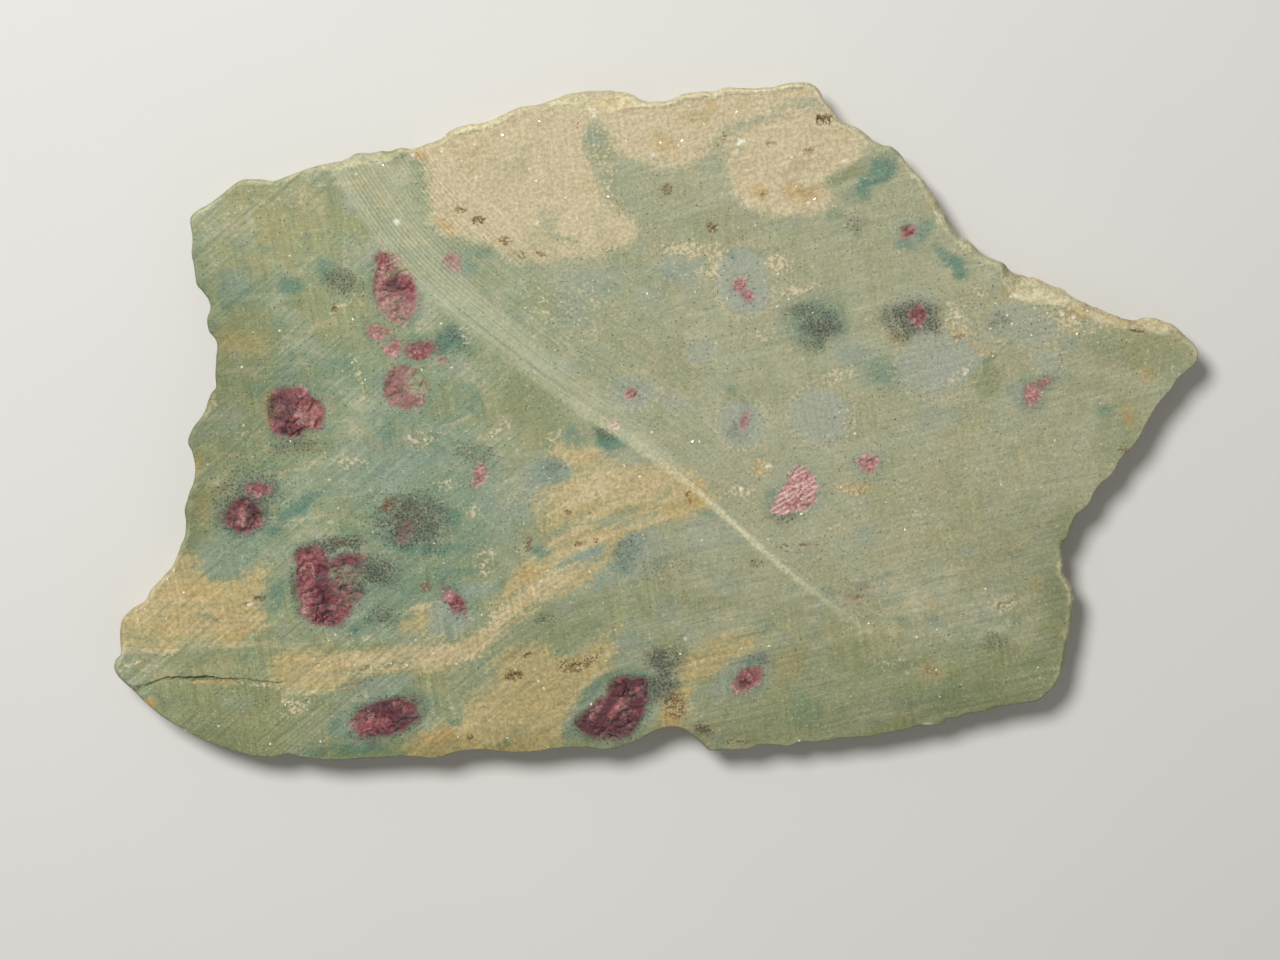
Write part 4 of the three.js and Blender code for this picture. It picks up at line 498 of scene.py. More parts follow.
# Centripetal Catmull-Rom curve through rows of numbers, at even steps of its own length.
def curveThrough(rows, pitch, closed):
    here = np.array(rows, float)
    if closed:
        before, after, beyond = (np.roll(here, shift, axis=0) for shift in (1, -1, -2))
    else:
        whole = np.vstack([2 * here[0] - here[1], here, 2 * here[-1] - here[-2]])
        before, here, after, beyond = whole[:-3], whole[1:-2], whole[2:-1], whole[3:]
    gaps = [np.maximum(np.linalg.norm(b - a, axis=1) ** 0.5, 1e-4)[:, None]
            for a, b in ((before, here), (here, after), (after, beyond))]
    leave = ((here - before) / gaps[0] - (after - before) / (gaps[0] + gaps[1])
             + (after - here) / gaps[1]) * gaps[1]
    arrive = ((after - here) / gaps[1] - (beyond - here) / (gaps[1] + gaps[2])
              + (beyond - after) / gaps[2]) * gaps[1]
    t = np.linspace(0, 1, 24, endpoint=False)[None, :, None]
    here, after, leave, arrive = (part[:, None, :] for part in (here, after, leave, arrive))
    dense = ((2 * t ** 3 - 3 * t ** 2 + 1) * here + (t ** 3 - 2 * t ** 2 + t) * leave
             + (3 * t ** 2 - 2 * t ** 3) * after + (t ** 3 - t ** 2) * arrive)
    dense = dense.reshape(-1, dense.shape[2])
    last = dense[:1] if closed else np.array(rows[-1:], float)
    dense = np.vstack([dense, last])
    walked = np.concatenate([[0], np.cumsum(np.linalg.norm(np.diff(dense, axis=0), axis=1))])
    count = max(3, round(walked[-1] / pitch))
    stops = np.linspace(0, walked[-1], count, endpoint=False) if closed \
        else np.linspace(0, walked[-1], count)
    return np.column_stack([np.interp(stops, walked, column) for column in dense.T])


# How far inside a closed outline each point lies; negative outside it.
def insideDistance(x, y, corners):
    near = np.full(x.shape, 1e9)
    inside = np.zeros(x.shape, bool)
    for (ax, ay), (bx, by) in zip(corners, np.roll(corners, -1, axis=0)):
        dx, dy = bx - ax, by - ay
        t = np.clip(((x - ax) * dx + (y - ay) * dy) / (dx * dx + dy * dy), 0, 1)
        near = np.minimum(near, np.hypot(x - ax - t * dx, y - ay - t * dy))
        inside ^= ((ay > y) != (by > y)) & (x < dx * (y - ay) / (dy if dy else 1e-9) + ax)
    return np.where(inside, near, -near)


# Distance to a line of points, with the values that its rows carry there.
def pathDistance(x, y, rows):
    rows = np.array(rows, float)
    near = np.full(x.shape, 1e9)
    carried = np.zeros(x.shape + (rows.shape[1] - 2,))
    for start, end in zip(rows[:-1], rows[1:]):
        d = end[:2] - start[:2]
        t = np.clip(((x - start[0]) * d[0] + (y - start[1]) * d[1]) / (d @ d), 0, 1)
        gap = np.hypot(x - start[0] - t * d[0], y - start[1] - t * d[1])
        closer = gap < near
        near[closer] = gap[closer]
        value = start[2:] + t[..., None] * (end[2:] - start[2:])
        carried[closer] = value[closer]
    return near, carried


# Distance from an oval's middle, 1 on its edge.
def ovalReach(x, y, row):
    cx, cy, halfX, halfY, turn = row[:5]
    c, s = math.cos(math.radians(turn)), math.sin(math.radians(turn))
    u, v = (x - cx) * c + (y - cy) * s, (y - cy) * c - (x - cx) * s
    return np.sqrt((u / halfX) ** 2 + (v / halfY) ** 2)


strataLine = curveThrough(strataRows, slabShape["linePitch"], False)
alongStep, acrossStep = np.array(slabShape["alongStep"]), np.array(slabShape["acrossStep"])
crestLine = curveThrough(crestRows, slabShape["linePitch"], False)[::-1]
crestAlong, crestAcross = crestLine[:, :2] @ alongStep, crestLine[:, :2] @ acrossStep
stepEndAlong = np.array(slabShape["stepEnd"]) @ alongStep


# Distance past the crest and the slope's width there.
def pastCrest(x, y):
    along = x * alongStep[0] + y * alongStep[1]
    across = x * acrossStep[0] + y * acrossStep[1]
    width = np.interp(along, crestAlong, crestLine[:, 2])
    return across - np.interp(along, crestAlong, crestAcross), width, along


def sawnHeight(x, y):
    past, width, along = pastCrest(x, y)
    fall = np.maximum(0, slabShape["stepFall"] * (along - stepEndAlong))
    return slabShape["thickness"] - fall * np.clip(past / width, 0, 1)


creamLoops = [curveThrough(field, slabShape["fieldPitch"], True) for field in creamFields]
rubyLoops = [(curveThrough(outline, slabShape["linePitch"], True), tone) for outline, tone in rubyCrystals]


# Signed distance into the ruby, and its tone, at points a given depth under the upper face.
def rubyAt(x, y, depth):
    inside = np.full(x.shape, -9.0)
    tone = np.zeros(x.shape)
    for loop, shade in rubyLoops:
        box = (np.abs(x - loop[:, 0].mean()) < 12) & (np.abs(y - loop[:, 1].mean()) < 12)
        value = np.full(x.shape, -9.0)
        value[box] = insideDistance(x[box], y[box], loop) - 0.45 * depth[box]
        tone = np.where(value > inside, shade, tone)
        inside = np.maximum(inside, value)
    for row in rubyKnots:
        small = min(row[2], row[3])
        reach = np.sqrt(ovalReach(x, y, row) ** 2 + (depth / (1.2 * small + 0.6)) ** 2)
        value = (1 - reach) * small
        tone = np.where(value > inside, row[5], tone)
        inside = np.maximum(inside, value)
    return inside, tone


# Furrows plucked out of the rubies, from 0 on the ridges to 1 in the gaps.
def furrowAt(x, y):
    bentX = x + 1.6 * (noise(x / 1.4, y / 1.4, 61) - 0.5)
    bentY = y + 1.6 * (noise(x / 1.4, y / 1.4, 67) - 0.5)
    u, v = bentX * 0.8 + bentY * 0.6, bentY * 0.8 - bentX * 0.6
    long = 1 - np.abs(2 * noise(u / 2.4, v / 0.95, 9) - 1)
    short = 1 - np.abs(2 * noise(u / 0.8, v / 0.7, 14) - 1)
    cracks = np.maximum(smooth(long, 0.72, 1.0), 0.7 * smooth(short, 0.78, 1.0))
    return cracks * smooth(noise(x / 1.9, y / 1.9, 23), 0.3, 0.62)


# How far a point of the upper face is sunk below its saw plane. Never negative.
def faceRelief(x, y, ruby, cream):
    sunk = 0.012 + 0.03 * noise(x / 7, y / 7, 3) + 0.012 * noise(x / 0.9, y / 0.9, 4)
    sunk += smooth(cream, -0.2, 0.4) * 0.11 * roughNoise(x, y, 0 * x, 0.95, 11.0) ** 2
    sunk += smooth(ruby, -0.1, 0.3) * (0.3 * furrowAt(x, y) + 0.1 * noise(x / 0.5, y / 0.5, 2))
    for px, py, halfX, halfY, depth in pitRows:
        near = (np.abs(x - px) < 2) & (np.abs(y - py) < 2)
        bx, by = x[near], y[near]
        reach = np.hypot((bx - px) / halfX, (by - py) / halfY)
        reach += 0.9 * (noise(bx / 0.42, by / 0.42, px) - 0.42)
        sunk[near] += depth * smooth(1.05 - reach, 0, 0.75) * (0.75 + 0.5 * noise(bx / 0.3, by / 0.3, py))
    waver = 0.12 * (noise(x / 0.45, y / 0.45, 6) - 0.5)
    gap, carried = pathDistance(x + waver, y + 2 * waver, crackRows)
    width, depth = carried[..., 0], carried[..., 1]
    return sunk + depth * np.clip(1.15 - 2 * gap / width, 0, 1)


def rimStations():
    curve = curveThrough(rimRows[::-1], slabShape["rimPitch"], True)
    x, y, shoulder = curve.T
    before, after = np.roll(curve, 1, axis=0), np.roll(curve, -1, axis=0)
    outward = np.column_stack([after[:, 1] - before[:, 1], before[:, 0] - after[:, 0]])
    outward /= np.linalg.norm(outward, axis=1)[:, None]
    for _ in range(2):
        outward = outward + np.roll(outward, 1, axis=0) + np.roll(outward, -1, axis=0)
        outward /= np.linalg.norm(outward, axis=1)[:, None]
    grain = slabShape["outlineGrain"]
    waver = slabShape["outlineRoughness"] * (noise(x / grain, y / grain) - 0.5)
    chips = 0.1 * roughNoise(x, y, 0 * x, 0.7, 5.0)
    place = curve[:, :2] + outward * (waver - chips)[:, None]
    return place, outward, np.maximum(0.15, shoulder)


wallShares = np.array([0.0, 0.035, 0.1, 0.19, 0.29, 0.39, 0.49, 0.59, 0.69, 0.79, 0.9])
cadShares, cadInsets = (0, 0.1, 0.27, 0.45, 0.62, 0.82, 1), (0.6, 0.25, 0.3, 0.45, 0.4, 0.15, 0)


# Rings of the broken wall from the rest surface up to the edge of the upper face.
def wallRings(place, outward, shoulder):
    x, y = place.T
    face = sawnHeight(x, y)
    bend = 0.25 + 0.3 * shoulder
    widest = face - bend - 0.3 - 0.65 * shoulder
    ledge = widest * (0.1 + 0.8 * noise(x / slabShape["ledgeSpacing"], y / slabShape["ledgeSpacing"], 5))
    rings = []
    for share in wallShares:
        z = widest * share
        lump, grain = slabShape["lumpSize"], slabShape["outlineGrain"]
        lumps = noise(x / lump + 7, y / lump, z / lump)
        chips = noise(x / grain, y / grain, z / grain)
        inset = np.interp(share, cadShares, cadInsets) + (0.25 if share == 0 else 0)
        inset = inset + slabShape["ledgeDepth"] * (1 - smooth(z, ledge - 0.3, ledge + 0.3))
        rough = slabShape["wallRoughness"] * (0.7 * lumps + 0.3 * chips - 0.2)
        fine = 0.34 * roughNoise(x, y, z, 0.85, 3.0)
        rings.append((z, inset + (rough + fine) * (1 if share else 0.8)))
    for share, rise in ((0.0, 0.0), (0.16, 0.35), (0.42, 0.72), (0.68, 0.88), (0.9, 0.965)):
        chips = 0.22 * (noise(x / 0.9 + 3, y / 0.9, rise * 4) - 0.5) * np.minimum(1, shoulder)
        z = widest + (face - widest) * rise - np.abs(chips) * (0.5 + 0.5 * shoulder) * rise
        rings.append((z, shoulder * share + np.maximum(chips, -0.05) + 0.05 * rise))
    edge = shoulder + 0.16 * roughNoise(x, y, 0 * x, 0.6, 8.0)
    rings.append((face, edge))
    return [np.column_stack([place - outward * inset[:, None], z]) for z, inset in rings]


# Points on a triangular grid over a box.
def gridPoints(low, high, pitch):
    rows = np.arange(low[1], high[1], pitch * 0.866)
    columns = np.arange(low[0], high[0], pitch)
    x, y = np.meshgrid(columns, rows)
    x = x + (np.arange(len(rows)) % 2)[:, None] * pitch / 2
    return np.column_stack([x.ravel(), y.ravel()])


# Keeps the points inside a closed loop that stand off it by a margin.
def keptInside(points, loop, margin):
    kept = []
    for part in np.array_split(points, max(1, len(points) // 4000)):
        kept.append(insideDistance(part[:, 0], part[:, 1], loop[::2]) > margin)
    return points[np.concatenate(kept)]


# Which pitch a point needs: 0 on plain stone, 1 on a ruby or the crest, 2 in a pit or along the crack.
def zoneOf(points):
    x, y = points.T
    pit = np.zeros(len(x), bool)
    margin = slabShape["pitMargin"]
    for px, py, halfX, halfY, _ in pitRows:
        pit |= np.hypot((x - px) / (halfX + margin), (y - py) / (halfY + margin)) < 1
    pit |= pathDistance(x, y, crackRows)[0] < slabShape["crackMargin"]
    ruby = rubyAt(x, y, 0 * x)[0] > -0.25
    past, width, _ = pastCrest(x, y)
    crest = (x > slabShape["crestFrom"]) & (x < slabShape["crestTo"])
    crest &= np.abs(past - width / 2) < 0.5 * width + 0.15
    return np.where(pit, 2, np.where(ruby | crest, 1, 0))


def facePoints(loop):
    low, high = loop.min(axis=0), loop.max(axis=0)
    chosen = []
    pitches = (slabShape["facePitch"], slabShape["finePitch"], slabShape["pitPitch"])
    for level, pitch in enumerate(pitches):
        points = gridPoints(low, high, pitch)
        points = points[zoneOf(points) == level]
        chosen.append(keptInside(points, loop, 0.6 * pitch))
    return np.vstack(chosen)


# Triangles over a closed loop and the points inside it; loop points come first.
def cover(loop, inner):
    points = [Vector(p) for p in np.vstack([loop, inner])]
    result = delaunay_2d_cdt(points, [], [list(range(len(loop)))], 1, 1e-5)
    if len(result[0]) != len(points):
        raise ValueError(f"the rim crosses itself: {len(result[0])} points from {len(points)}")
    order = np.array([origins[0] for origins in result[3]])
    return [tuple(order[list(face)]) for face in result[2]]


# The whole slab as points, faces, what each face is, and the ring that each point is on; the upper
# face's inner points and the underside's come after the rings.
def buildSlab():
    place, outward, shoulder = rimStations()
    rings = wallRings(place, outward, shoulder)
    count = len(place)
    edge, foot = rings[-1], rings[0]
    inner = facePoints(edge[:, :2])
    under = keptInside(gridPoints(foot[:, :2].min(0), foot[:, :2].max(0), slabShape["undersidePitch"]),
                       foot[:, :2], 0.5)
    points = np.vstack(rings + [np.column_stack([inner, sawnHeight(*inner.T)]),
                                np.column_stack([under, 0 * under[:, 0]])])
    faces, kinds = [], []
    for level in range(len(rings) - 1):
        low, high = level * count, (level + 1) * count
        for n in range(count):
            after = (n + 1) % count
            faces.append((low + n, low + after, high + after, high + n))
    kinds += [brokenWall] * len(faces)
    top = (len(rings) - 1) * count
    for face in cover(edge[:, :2], inner):
        faces.append(tuple(top + n for n in face))
        kinds.append(sawnFace)
    shift = len(rings) * count + len(inner) - count
    for face in cover(foot[:, :2], under):
        faces.append(tuple(n if n < count else n + shift for n in reversed(face)))
        kinds.append(underside)
    groups = np.concatenate([np.repeat(np.arange(len(rings)), count),
                             np.full(len(inner), len(rings)), np.full(len(under), len(rings) + 1)])
    return points, faces, kinds, groups, len(rings), outward


print("slab: laying out the rim and the faces")
slabPoints, slabFaces, slabKinds, slabGroups, ringCount, rimOutward = buildSlab()
edgeRing, innerFace, underFace = ringCount - 1, ringCount, ringCount + 1
shoulderRings = 6                 # rings of the broken shoulder, the edge among them
print(f"slab: {len(slabPoints)} points, {sum(len(f) - 2 for f in slabFaces)} triangles")

# Values carried by the points

# only the underside shows these rubies
hiddenRubies = {"count": 40, "seed": 41, "small": 0.8, "large": 3.4, "alongX": 60.0, "alongY": 38.0}
ragged = {"grain": 1.5, "reach": 0.55}                                 # waver of the soft stains
# width of each list's soft border, stains and painted shade alike, as a share of its radius
softness = {"dark": 1.3, "halo": 0.25, "blue": 1.0, "teal": 1.0, "tan": 1.0, "straw": 1.3, "paintedShade": 1.6,
            "others": 0.8}


# Ruby knots of the underside, at random places.
def undersideRubies():
    rng = np.random.default_rng(hiddenRubies["seed"])
    alongX, alongY = hiddenRubies["alongX"], hiddenRubies["alongY"]
    rows = []
    for _ in range(hiddenRubies["count"]):
        size = hiddenRubies["small"] + (hiddenRubies["large"] - hiddenRubies["small"]) * rng.random() ** 2.5
        rows.append((rng.uniform(-alongX, alongX), rng.uniform(-alongY, alongY), size,
                     size * rng.uniform(0.55, 1),
                     rng.uniform(-40, 60), rng.uniform(0.05, 0.8)))
    return rows


# How deep each point lies inside the cream, less the green threads.
def creamAt(x, y):
    inside = np.full(x.shape, -9.0)
    for loop in creamLoops:
        low, high = loop.min(axis=0) - 3, loop.max(axis=0) + 3
        box = (x > low[0]) & (x < high[0]) & (y > low[1]) & (y < high[1])
        inside[box] = np.maximum(inside[box], insideDistance(x[box], y[box], loop))
    for path, half in greenThreads:
        inside = np.minimum(inside, pathDistance(x, y, path)[0] - half)
    return np.clip(inside, -3, 3)


# The share of each stain, patch, painted shade or painted glint at the points, from 0 to 1.
def patchAt(x, y, rows, soft):
    wanderX = noise(x / ragged["grain"], y / ragged["grain"], 31) - 0.5
    wanderY = noise(x / ragged["grain"], y / ragged["grain"], 47) - 0.5
    clear = np.ones(x.shape)
    for row in rows:
        sway = 2.2 * min(ragged["reach"], 0.5 * min(row[2], row[3]))
        near = (np.abs(x - row[0]) < 2 * max(row[2], row[3]) + 1) \
            & (np.abs(y - row[1]) < 2 * max(row[2], row[3]) + 1)
        reach = ovalReach(x[near] + sway * wanderX[near], y[near] + sway * wanderY[near], row)
        clear[near] *= 1 - row[5] * smooth(1 + soft / 2 - reach, 0, soft)
    return 1 - clear


# Thin rims of the haloes.
def haloRims(x, y):
    rims = np.zeros(x.shape)
    sway = noise(x / 1.1, y / 1.1, 71) - 0.5
    for row in stainsAndPaintedLight["halo"]:
        near = (np.abs(x - row[0]) < 8) & (np.abs(y - row[1]) < 8)
        reach = ovalReach(x[near], y[near], row) + 0.12 * sway[near]
        rim = np.exp(-((reach - 1.12) * min(row[2], row[3]) / 0.3) ** 2)
        rims[near] = np.maximum(rims[near], row[5] * rim)
    return rims


def stoneValues(points, groups):
    x, y, z = points.T
    depth = np.maximum(0, sawnHeight(x, y) - z)
    depth[groups == innerFace] = 0
    # the veins lean and wander on their way down through the slab
    run, wander = slabShape["veinLean"], slabShape["veinWander"]
    leanX = x + depth * (run[0] + wander * (roughNoise(x, y, z, 7, 21.0) - 0.5))
    leanY = y + depth * (run[1] + wander * (roughNoise(x, y, z, 7, 35.0) - 0.5))
    values = {name: patchAt(leanX, leanY, rows, softness.get(name, softness["others"]))
              for name, rows in stainsAndPaintedLight.items()}
    values["haloRim"] = haloRims(leanX, leanY)
    cream = creamAt(leanX, leanY) + 0.5 * (roughNoise(x, y, z, 1.3, 13.0) - 0.5)
    ruby, tone = rubyAt(x, y, depth)
    for row in undersideRubies():
        reach = np.sqrt(ovalReach(x, y, row) ** 2 + (z / (0.8 * min(row[2], row[3]) + 0.4)) ** 2)
        value = (1 - reach) * min(row[2], row[3])
        tone = np.where(value > ruby, row[5], tone)
        ruby = np.maximum(ruby, value)
    ruby = ruby + 0.3 * (roughNoise(x, y, z, 0.9, 17.0) - 0.5)
    for row in rubyShades:
        part = row[5] * smooth(1.4 - ovalReach(x, y, row), 0, 0.9) * (z > slabShape["thickness"] / 2)
        tone = tone + part * (row[6] - tone)
    values["furrow"] = furrowAt(x + 0.6 * z, y) * smooth(ruby, -0.3, 0.2)
    halo = smooth(ruby, -1.9, -0.1) * (1 - values["veil"])
    mood = roughNoise(x, y, z, 3.0, 27.0)
    values["teal"] = 1 - (1 - values["teal"]) * (1 - 0.55 * (1.2 - tone) * halo * smooth(mood, 0.35, 0.6))
    values["blue"] = 1 - (1 - values["blue"]) * (1 - 0.5 * halo * smooth(mood, 0.65, 0.4))
    values["dark"] = 1 - (1 - values["dark"]) * (1 - 0.55 * (1 - tone) * smooth(ruby, -1.0, 0)
                                                 * (1 - values["veil"]))
    past, width, along = pastCrest(x, y)
    slope = smooth(past, -0.2, 0.25) * (1 - smooth(past - width, -0.25 * width, 0.35 * width + 0.3))
    onFace = groups >= edgeRing
    upper = z > 3.0               # keeps the step's marks off the underside
    values["band"] = slope * smooth(along - stepEndAlong, 0, 9) * onFace * upper
    values["past"] = np.clip(past, -9, 30)
    values["comb"] = smooth(past, -0.5, 1.0) * (1 - smooth(past, 9, 14)) \
        * smooth(along - stepEndAlong, 56, 74) * onFace
    values["strata"] = y - np.interp(x, strataLine[:, 0], strataLine[:, 1])
    # a thin pale line along the crest of the saw step, shown in the shader as a chipped edge with painted
    # highlight
    spread = 0.12 + 0.4 * smooth(-x, -8, 4)
    offCrest = np.maximum(0, np.abs(past - 0.5 * np.minimum(width, 0.7)) - spread)
    values["crest"] = np.exp(-(offCrest / 0.2) ** 2) \
        * smooth(along - stepEndAlong, -2, 31) * smooth(past, -0.6, 0.0) * (1 - 0.6 * smooth(-x, -9, -3)) \
        * smooth(x, -13, -3) * upper
    values["paintedGlint"] *= onFace
    # the rim's chipped lip is real, but it is painted paler where the rim faces the key light, along the
    # upper edges, and dimmer on the lower and left edges as painted shade
    towards = np.zeros(len(x))
    towards[:ringCount * len(rimOutward)] = np.tile(rimOutward @ (0.2, 1.0), ringCount)
    lip = 0.25 + 0.75 * smooth(roughNoise(x, y, 0 * x, 3.5, 61.0), 0.4, 0.62)
    lip *= 0.6 + 0.4 * smooth(x, -38, -22)
    litLipFloor = 0.58 + 0.42 * np.exp(-((x - 8) / 13) ** 2)
    lip = np.maximum(lip, litLipFloor * smooth(towards, 0.75, 1.0)) * (0.12 + 0.88 * smooth(towards, -0.5, 0.3))
    values["broken"] = np.where(groups < ringCount - shoulderRings, 0.55,
                                np.where(groups < ringCount, lip, 0.0))
    values["warmth"] = smooth(x + 14 * (roughNoise(x, y, z, 11, 51.0) - 0.5), -38, 14)
    values["buff"] = np.maximum(smooth(-y + 0.25 * x, -12, 8), smooth(-x, 42, 48))
    values["flakes"] = 0.1 + 0.4 * smooth(cream, 0, 0.6) + 0.5 * values["tan"] + 0.3 * values["broken"] \
        + 9 * values["paintedGlint"] + 0.3 * values["dark"]
    values["flakes"] *= 1 - smooth(ruby, -0.3, 0.1)
    values.update(cream=cream, ruby=ruby, tone=tone)
    return values


def finishSlab(points, groups):
    values = stoneValues(points, groups)
    top = (groups == edgeRing) | (groups == innerFace)
    x, y = points[top, 0], points[top, 1]
    edge = np.where(groups[top] == edgeRing, 0.0, 1.0)            # 0 on the rim of the upper face
    points[top, 2] -= faceRelief(x, y, values["ruby"][top], values["cream"][top]) * (0.4 + 0.6 * edge)
    under = groups == underFace
    points[under, 2] += 0.04 * noise(points[under, 0] / 3, points[under, 1] / 3, 8)
    return values


mapLayout = {
    "spare": 1.2,                 # mm added to the slab's length before it is fitted to the map
    "margin": 0.5,                # mm left free beside a face
    "faceUp": 0.37,               # share of the map below the upper face, where the underside lies
    # the wall's strips, beside the underside; all in shares of the map
    "wallLeft": 0.508, "wallWide": 0.488, "wallUp": 0.004, "wallHigh": 0.055,
    "strips": 6, "stripStep": 0.0605,
}


# Map for the finish: the upper face over most of it, then the underside and the wall in strips.
def finishMap(mesh, points, faces, kinds, stations):
    low, high = points.min(axis=0), points.max(axis=0)
    scale = 1 / (high[0] - low[0] + mapLayout["spare"])
    rings = points[:ringCount * stations].reshape(ringCount, stations, 3)[:, ::9].mean(axis=1)
    wallHigh = np.concatenate([[0], np.cumsum(np.linalg.norm(np.diff(rings, axis=0), axis=1))])
    wallHigh *= mapLayout["wallHigh"] / wallHigh[-1]
    strip = math.ceil(stations / mapLayout["strips"])
    spots = []
    for face, kind in zip(faces, kinds):
        if kind == brokenWall:
            ring, station = divmod(face[0], stations)
            row, step = divmod(station, strip)
            for across, up in ((0, 0), (1, 0), (1, 1), (0, 1)):
                spots += (mapLayout["wallLeft"] + mapLayout["wallWide"] * (step + across) / strip,
                          mapLayout["wallUp"] + mapLayout["stripStep"] * row + wallHigh[ring + up])
            continue
        for n in face:
            u, v = (points[n, :2] - low[:2] + mapLayout["margin"]) * scale
            spots += (u, v + mapLayout["faceUp"]) if kind == sawnFace else (u / 2, v / 2)
    layer = mesh.uv_layers.new(name="OFBake")
    layer.uv.foreach_set("vector", spots)


def makeSlab():
    points = slabPoints.copy()
    values = finishSlab(points, slabGroups)
    outline = points[:ringCount * len(rimOutward)]
    lowCad, highCad = (np.array(corner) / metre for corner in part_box("slab"))
    shift = (lowCad + highCad) / 2 - (outline.min(axis=0) + outline.max(axis=0)) / 2
    shift[2] = 0
    placed = np.clip(points + shift, lowCad + slabShape["clearance"], highCad - slabShape["clearance"])
    mesh = bpy.data.meshes.new("slabStone")
    mesh.from_pydata((placed * metre).tolist(), [], slabFaces)
    finishMap(mesh, placed, slabFaces, slabKinds, len(rimOutward))
    for name, value in values.items():
        mesh.attributes.new(name, "FLOAT", "POINT").data.foreach_set("value", value.astype(np.float32))
    mesh.shade_smooth()
    mesh.set_sharp_from_angle(angle=math.radians(slabShape["sharpEdge"]))
    slab = bpy.data.objects.new("slabStone", mesh)
    bpy.context.collection.objects.link(slab)
    return slab, shift


slabStone, frameShift = makeSlab()
print(f"slab: meshed, shifted by {frameShift.round(3).tolist()} mm")

# Materials

# Tints as they look in soft daylight, 0 to 255.
tints = {
    "greenGrey": (134, 146, 113), "dustGrey": (157, 157, 126), "yellowGreen": (146, 144, 96),
    "paleGrey": (162, 166, 142), "olive": (124, 130, 86), "teal": (84, 122, 102),
    "blueGrey": (134, 148, 134), "straw": (152, 148, 102), "halo": (154, 160, 145), "cream": (193, 178, 143),
    "buff": (177, 160, 110), "buffPale": (198, 180, 142), "buffGreen": (154, 152, 112),
    "ochre": (178, 146, 86), "tan": (198, 182, 146), "rust": (112, 82, 50), "pit": (44, 36, 26),
    "rubyDeep": (88, 38, 46), "rubyRose": (146, 80, 82), "rubyPink": (200, 152, 144),
    "rubyGapShade": (34, 22, 26), "rubyGlaze": (214, 190, 180), "smoke": (94, 99, 82),
    "dustAndHighlight": (184, 181, 150), "paintedShade": (198, 204, 182), "chipAndHighlight": (214, 206, 167), "speckDark": (60, 64, 52),
    "speckLight": (206, 202, 172), "mica": (226, 226, 206), "floor": (214, 212, 207),
}


# Linear colour of a tint.
def tint(name):
    channels = [c / 255 for c in tints[name]]
    return tuple(c / 12.92 if c < 0.04045 else ((c + 0.055) / 1.055) ** 2.4 for c in channels) + (1.0,)


# Adds a node; inputs may be values or the sockets of other nodes.
def addNode(tree, kind, inputs=None, **settings):
    made = tree.nodes.new(kind)
    for name, value in settings.items():
        setattr(made, name, value)
    for name, value in (inputs or {}).items():
        if isinstance(value, bpy.types.NodeSocket):
            tree.links.new(value, made.inputs[name])
        else:
            made.inputs[name].default_value = value
    return made


def put(tree, kind, inputs=None, **settings):
    return addNode(tree, "ShaderNode" + kind, inputs, **settings)


def maths(tree, operation, a, b=0.0):
    return put(tree, "Math", {0: a, 1: b}, operation=operation).outputs[0]


def fade(tree, value, low, high, start=0.0, end=1.0):
    return put(tree, "MapRange", {"Value": value, "From Min": low, "From Max": high, "To Min": start,
                                  "To Max": end}, interpolation_type="SMOOTHSTEP").outputs[0]


def mixTint(tree, factor, under, over, mode="MIX"):
    node = put(tree, "Mix", {0: factor, 6: under, 7: over}, data_type="RGBA", blend_type=mode)
    return node.outputs[2]


def mixNumber(tree, factor, under, over):
    return put(tree, "Mix", {0: factor, 2: under, 3: over}, data_type="FLOAT").outputs[0]


def grains(tree, vector, scale, detail=2.0, roughness=0.5, distortion=0.0):
    return put(tree, "TexNoise", {"Vector": vector, "Scale": scale, "Detail": detail,
                                  "Roughness": roughness, "Distortion": distortion}).outputs["Fac"]


def carried(tree, name):
    return put(tree, "Attribute", attribute_name=name).outputs["Fac"]


# Object coordinates in millimetres.
def millimetres(tree):
    place = put(tree, "TexCoord").outputs["Object"]
    return put(tree, "VectorMath", {0: place, "Scale": 1000.0}, operation="SCALE").outputs[0]


def newGroup(name, inputs, outputs):
    tree = bpy.data.node_groups.new(name, "ShaderNodeTree")
    for label, kind, value in inputs:
        socket = tree.interface.new_socket(label, in_out="INPUT", socket_type=kind)
        if value is not None:
            socket.default_value = value
    for label, kind in outputs:
        tree.interface.new_socket(label, in_out="OUTPUT", socket_type=kind)
    return tree, tree.nodes.new("NodeGroupInput").outputs, tree.nodes.new("NodeGroupOutput").inputs


# Long scratches or streaks that lie along one coordinate, from 0 to 1. All lengths in millimetres.
def sawLinesGroup():
    tree, given, result = newGroup(
        "sawLines", [("Along", "NodeSocketFloat", 0.0), ("Across", "NodeSocketFloat", 0.0),
                     ("Height", "NodeSocketFloat", 0.0), ("Pitch", "NodeSocketFloat", 0.6),
                     ("Length", "NodeSocketFloat", 12.0)], [("Lines", "NodeSocketFloat")])
    stretched = put(tree, "CombineXYZ", {
        0: maths(tree, "DIVIDE", given["Along"], given["Length"]),
        1: maths(tree, "DIVIDE", given["Across"], given["Pitch"]),
        2: maths(tree, "DIVIDE", given["Height"], given["Pitch"])}).outputs[0]
    tree.links.new(grains(tree, stretched, 1.0, 3.0, 0.62), result["Lines"])
    return tree


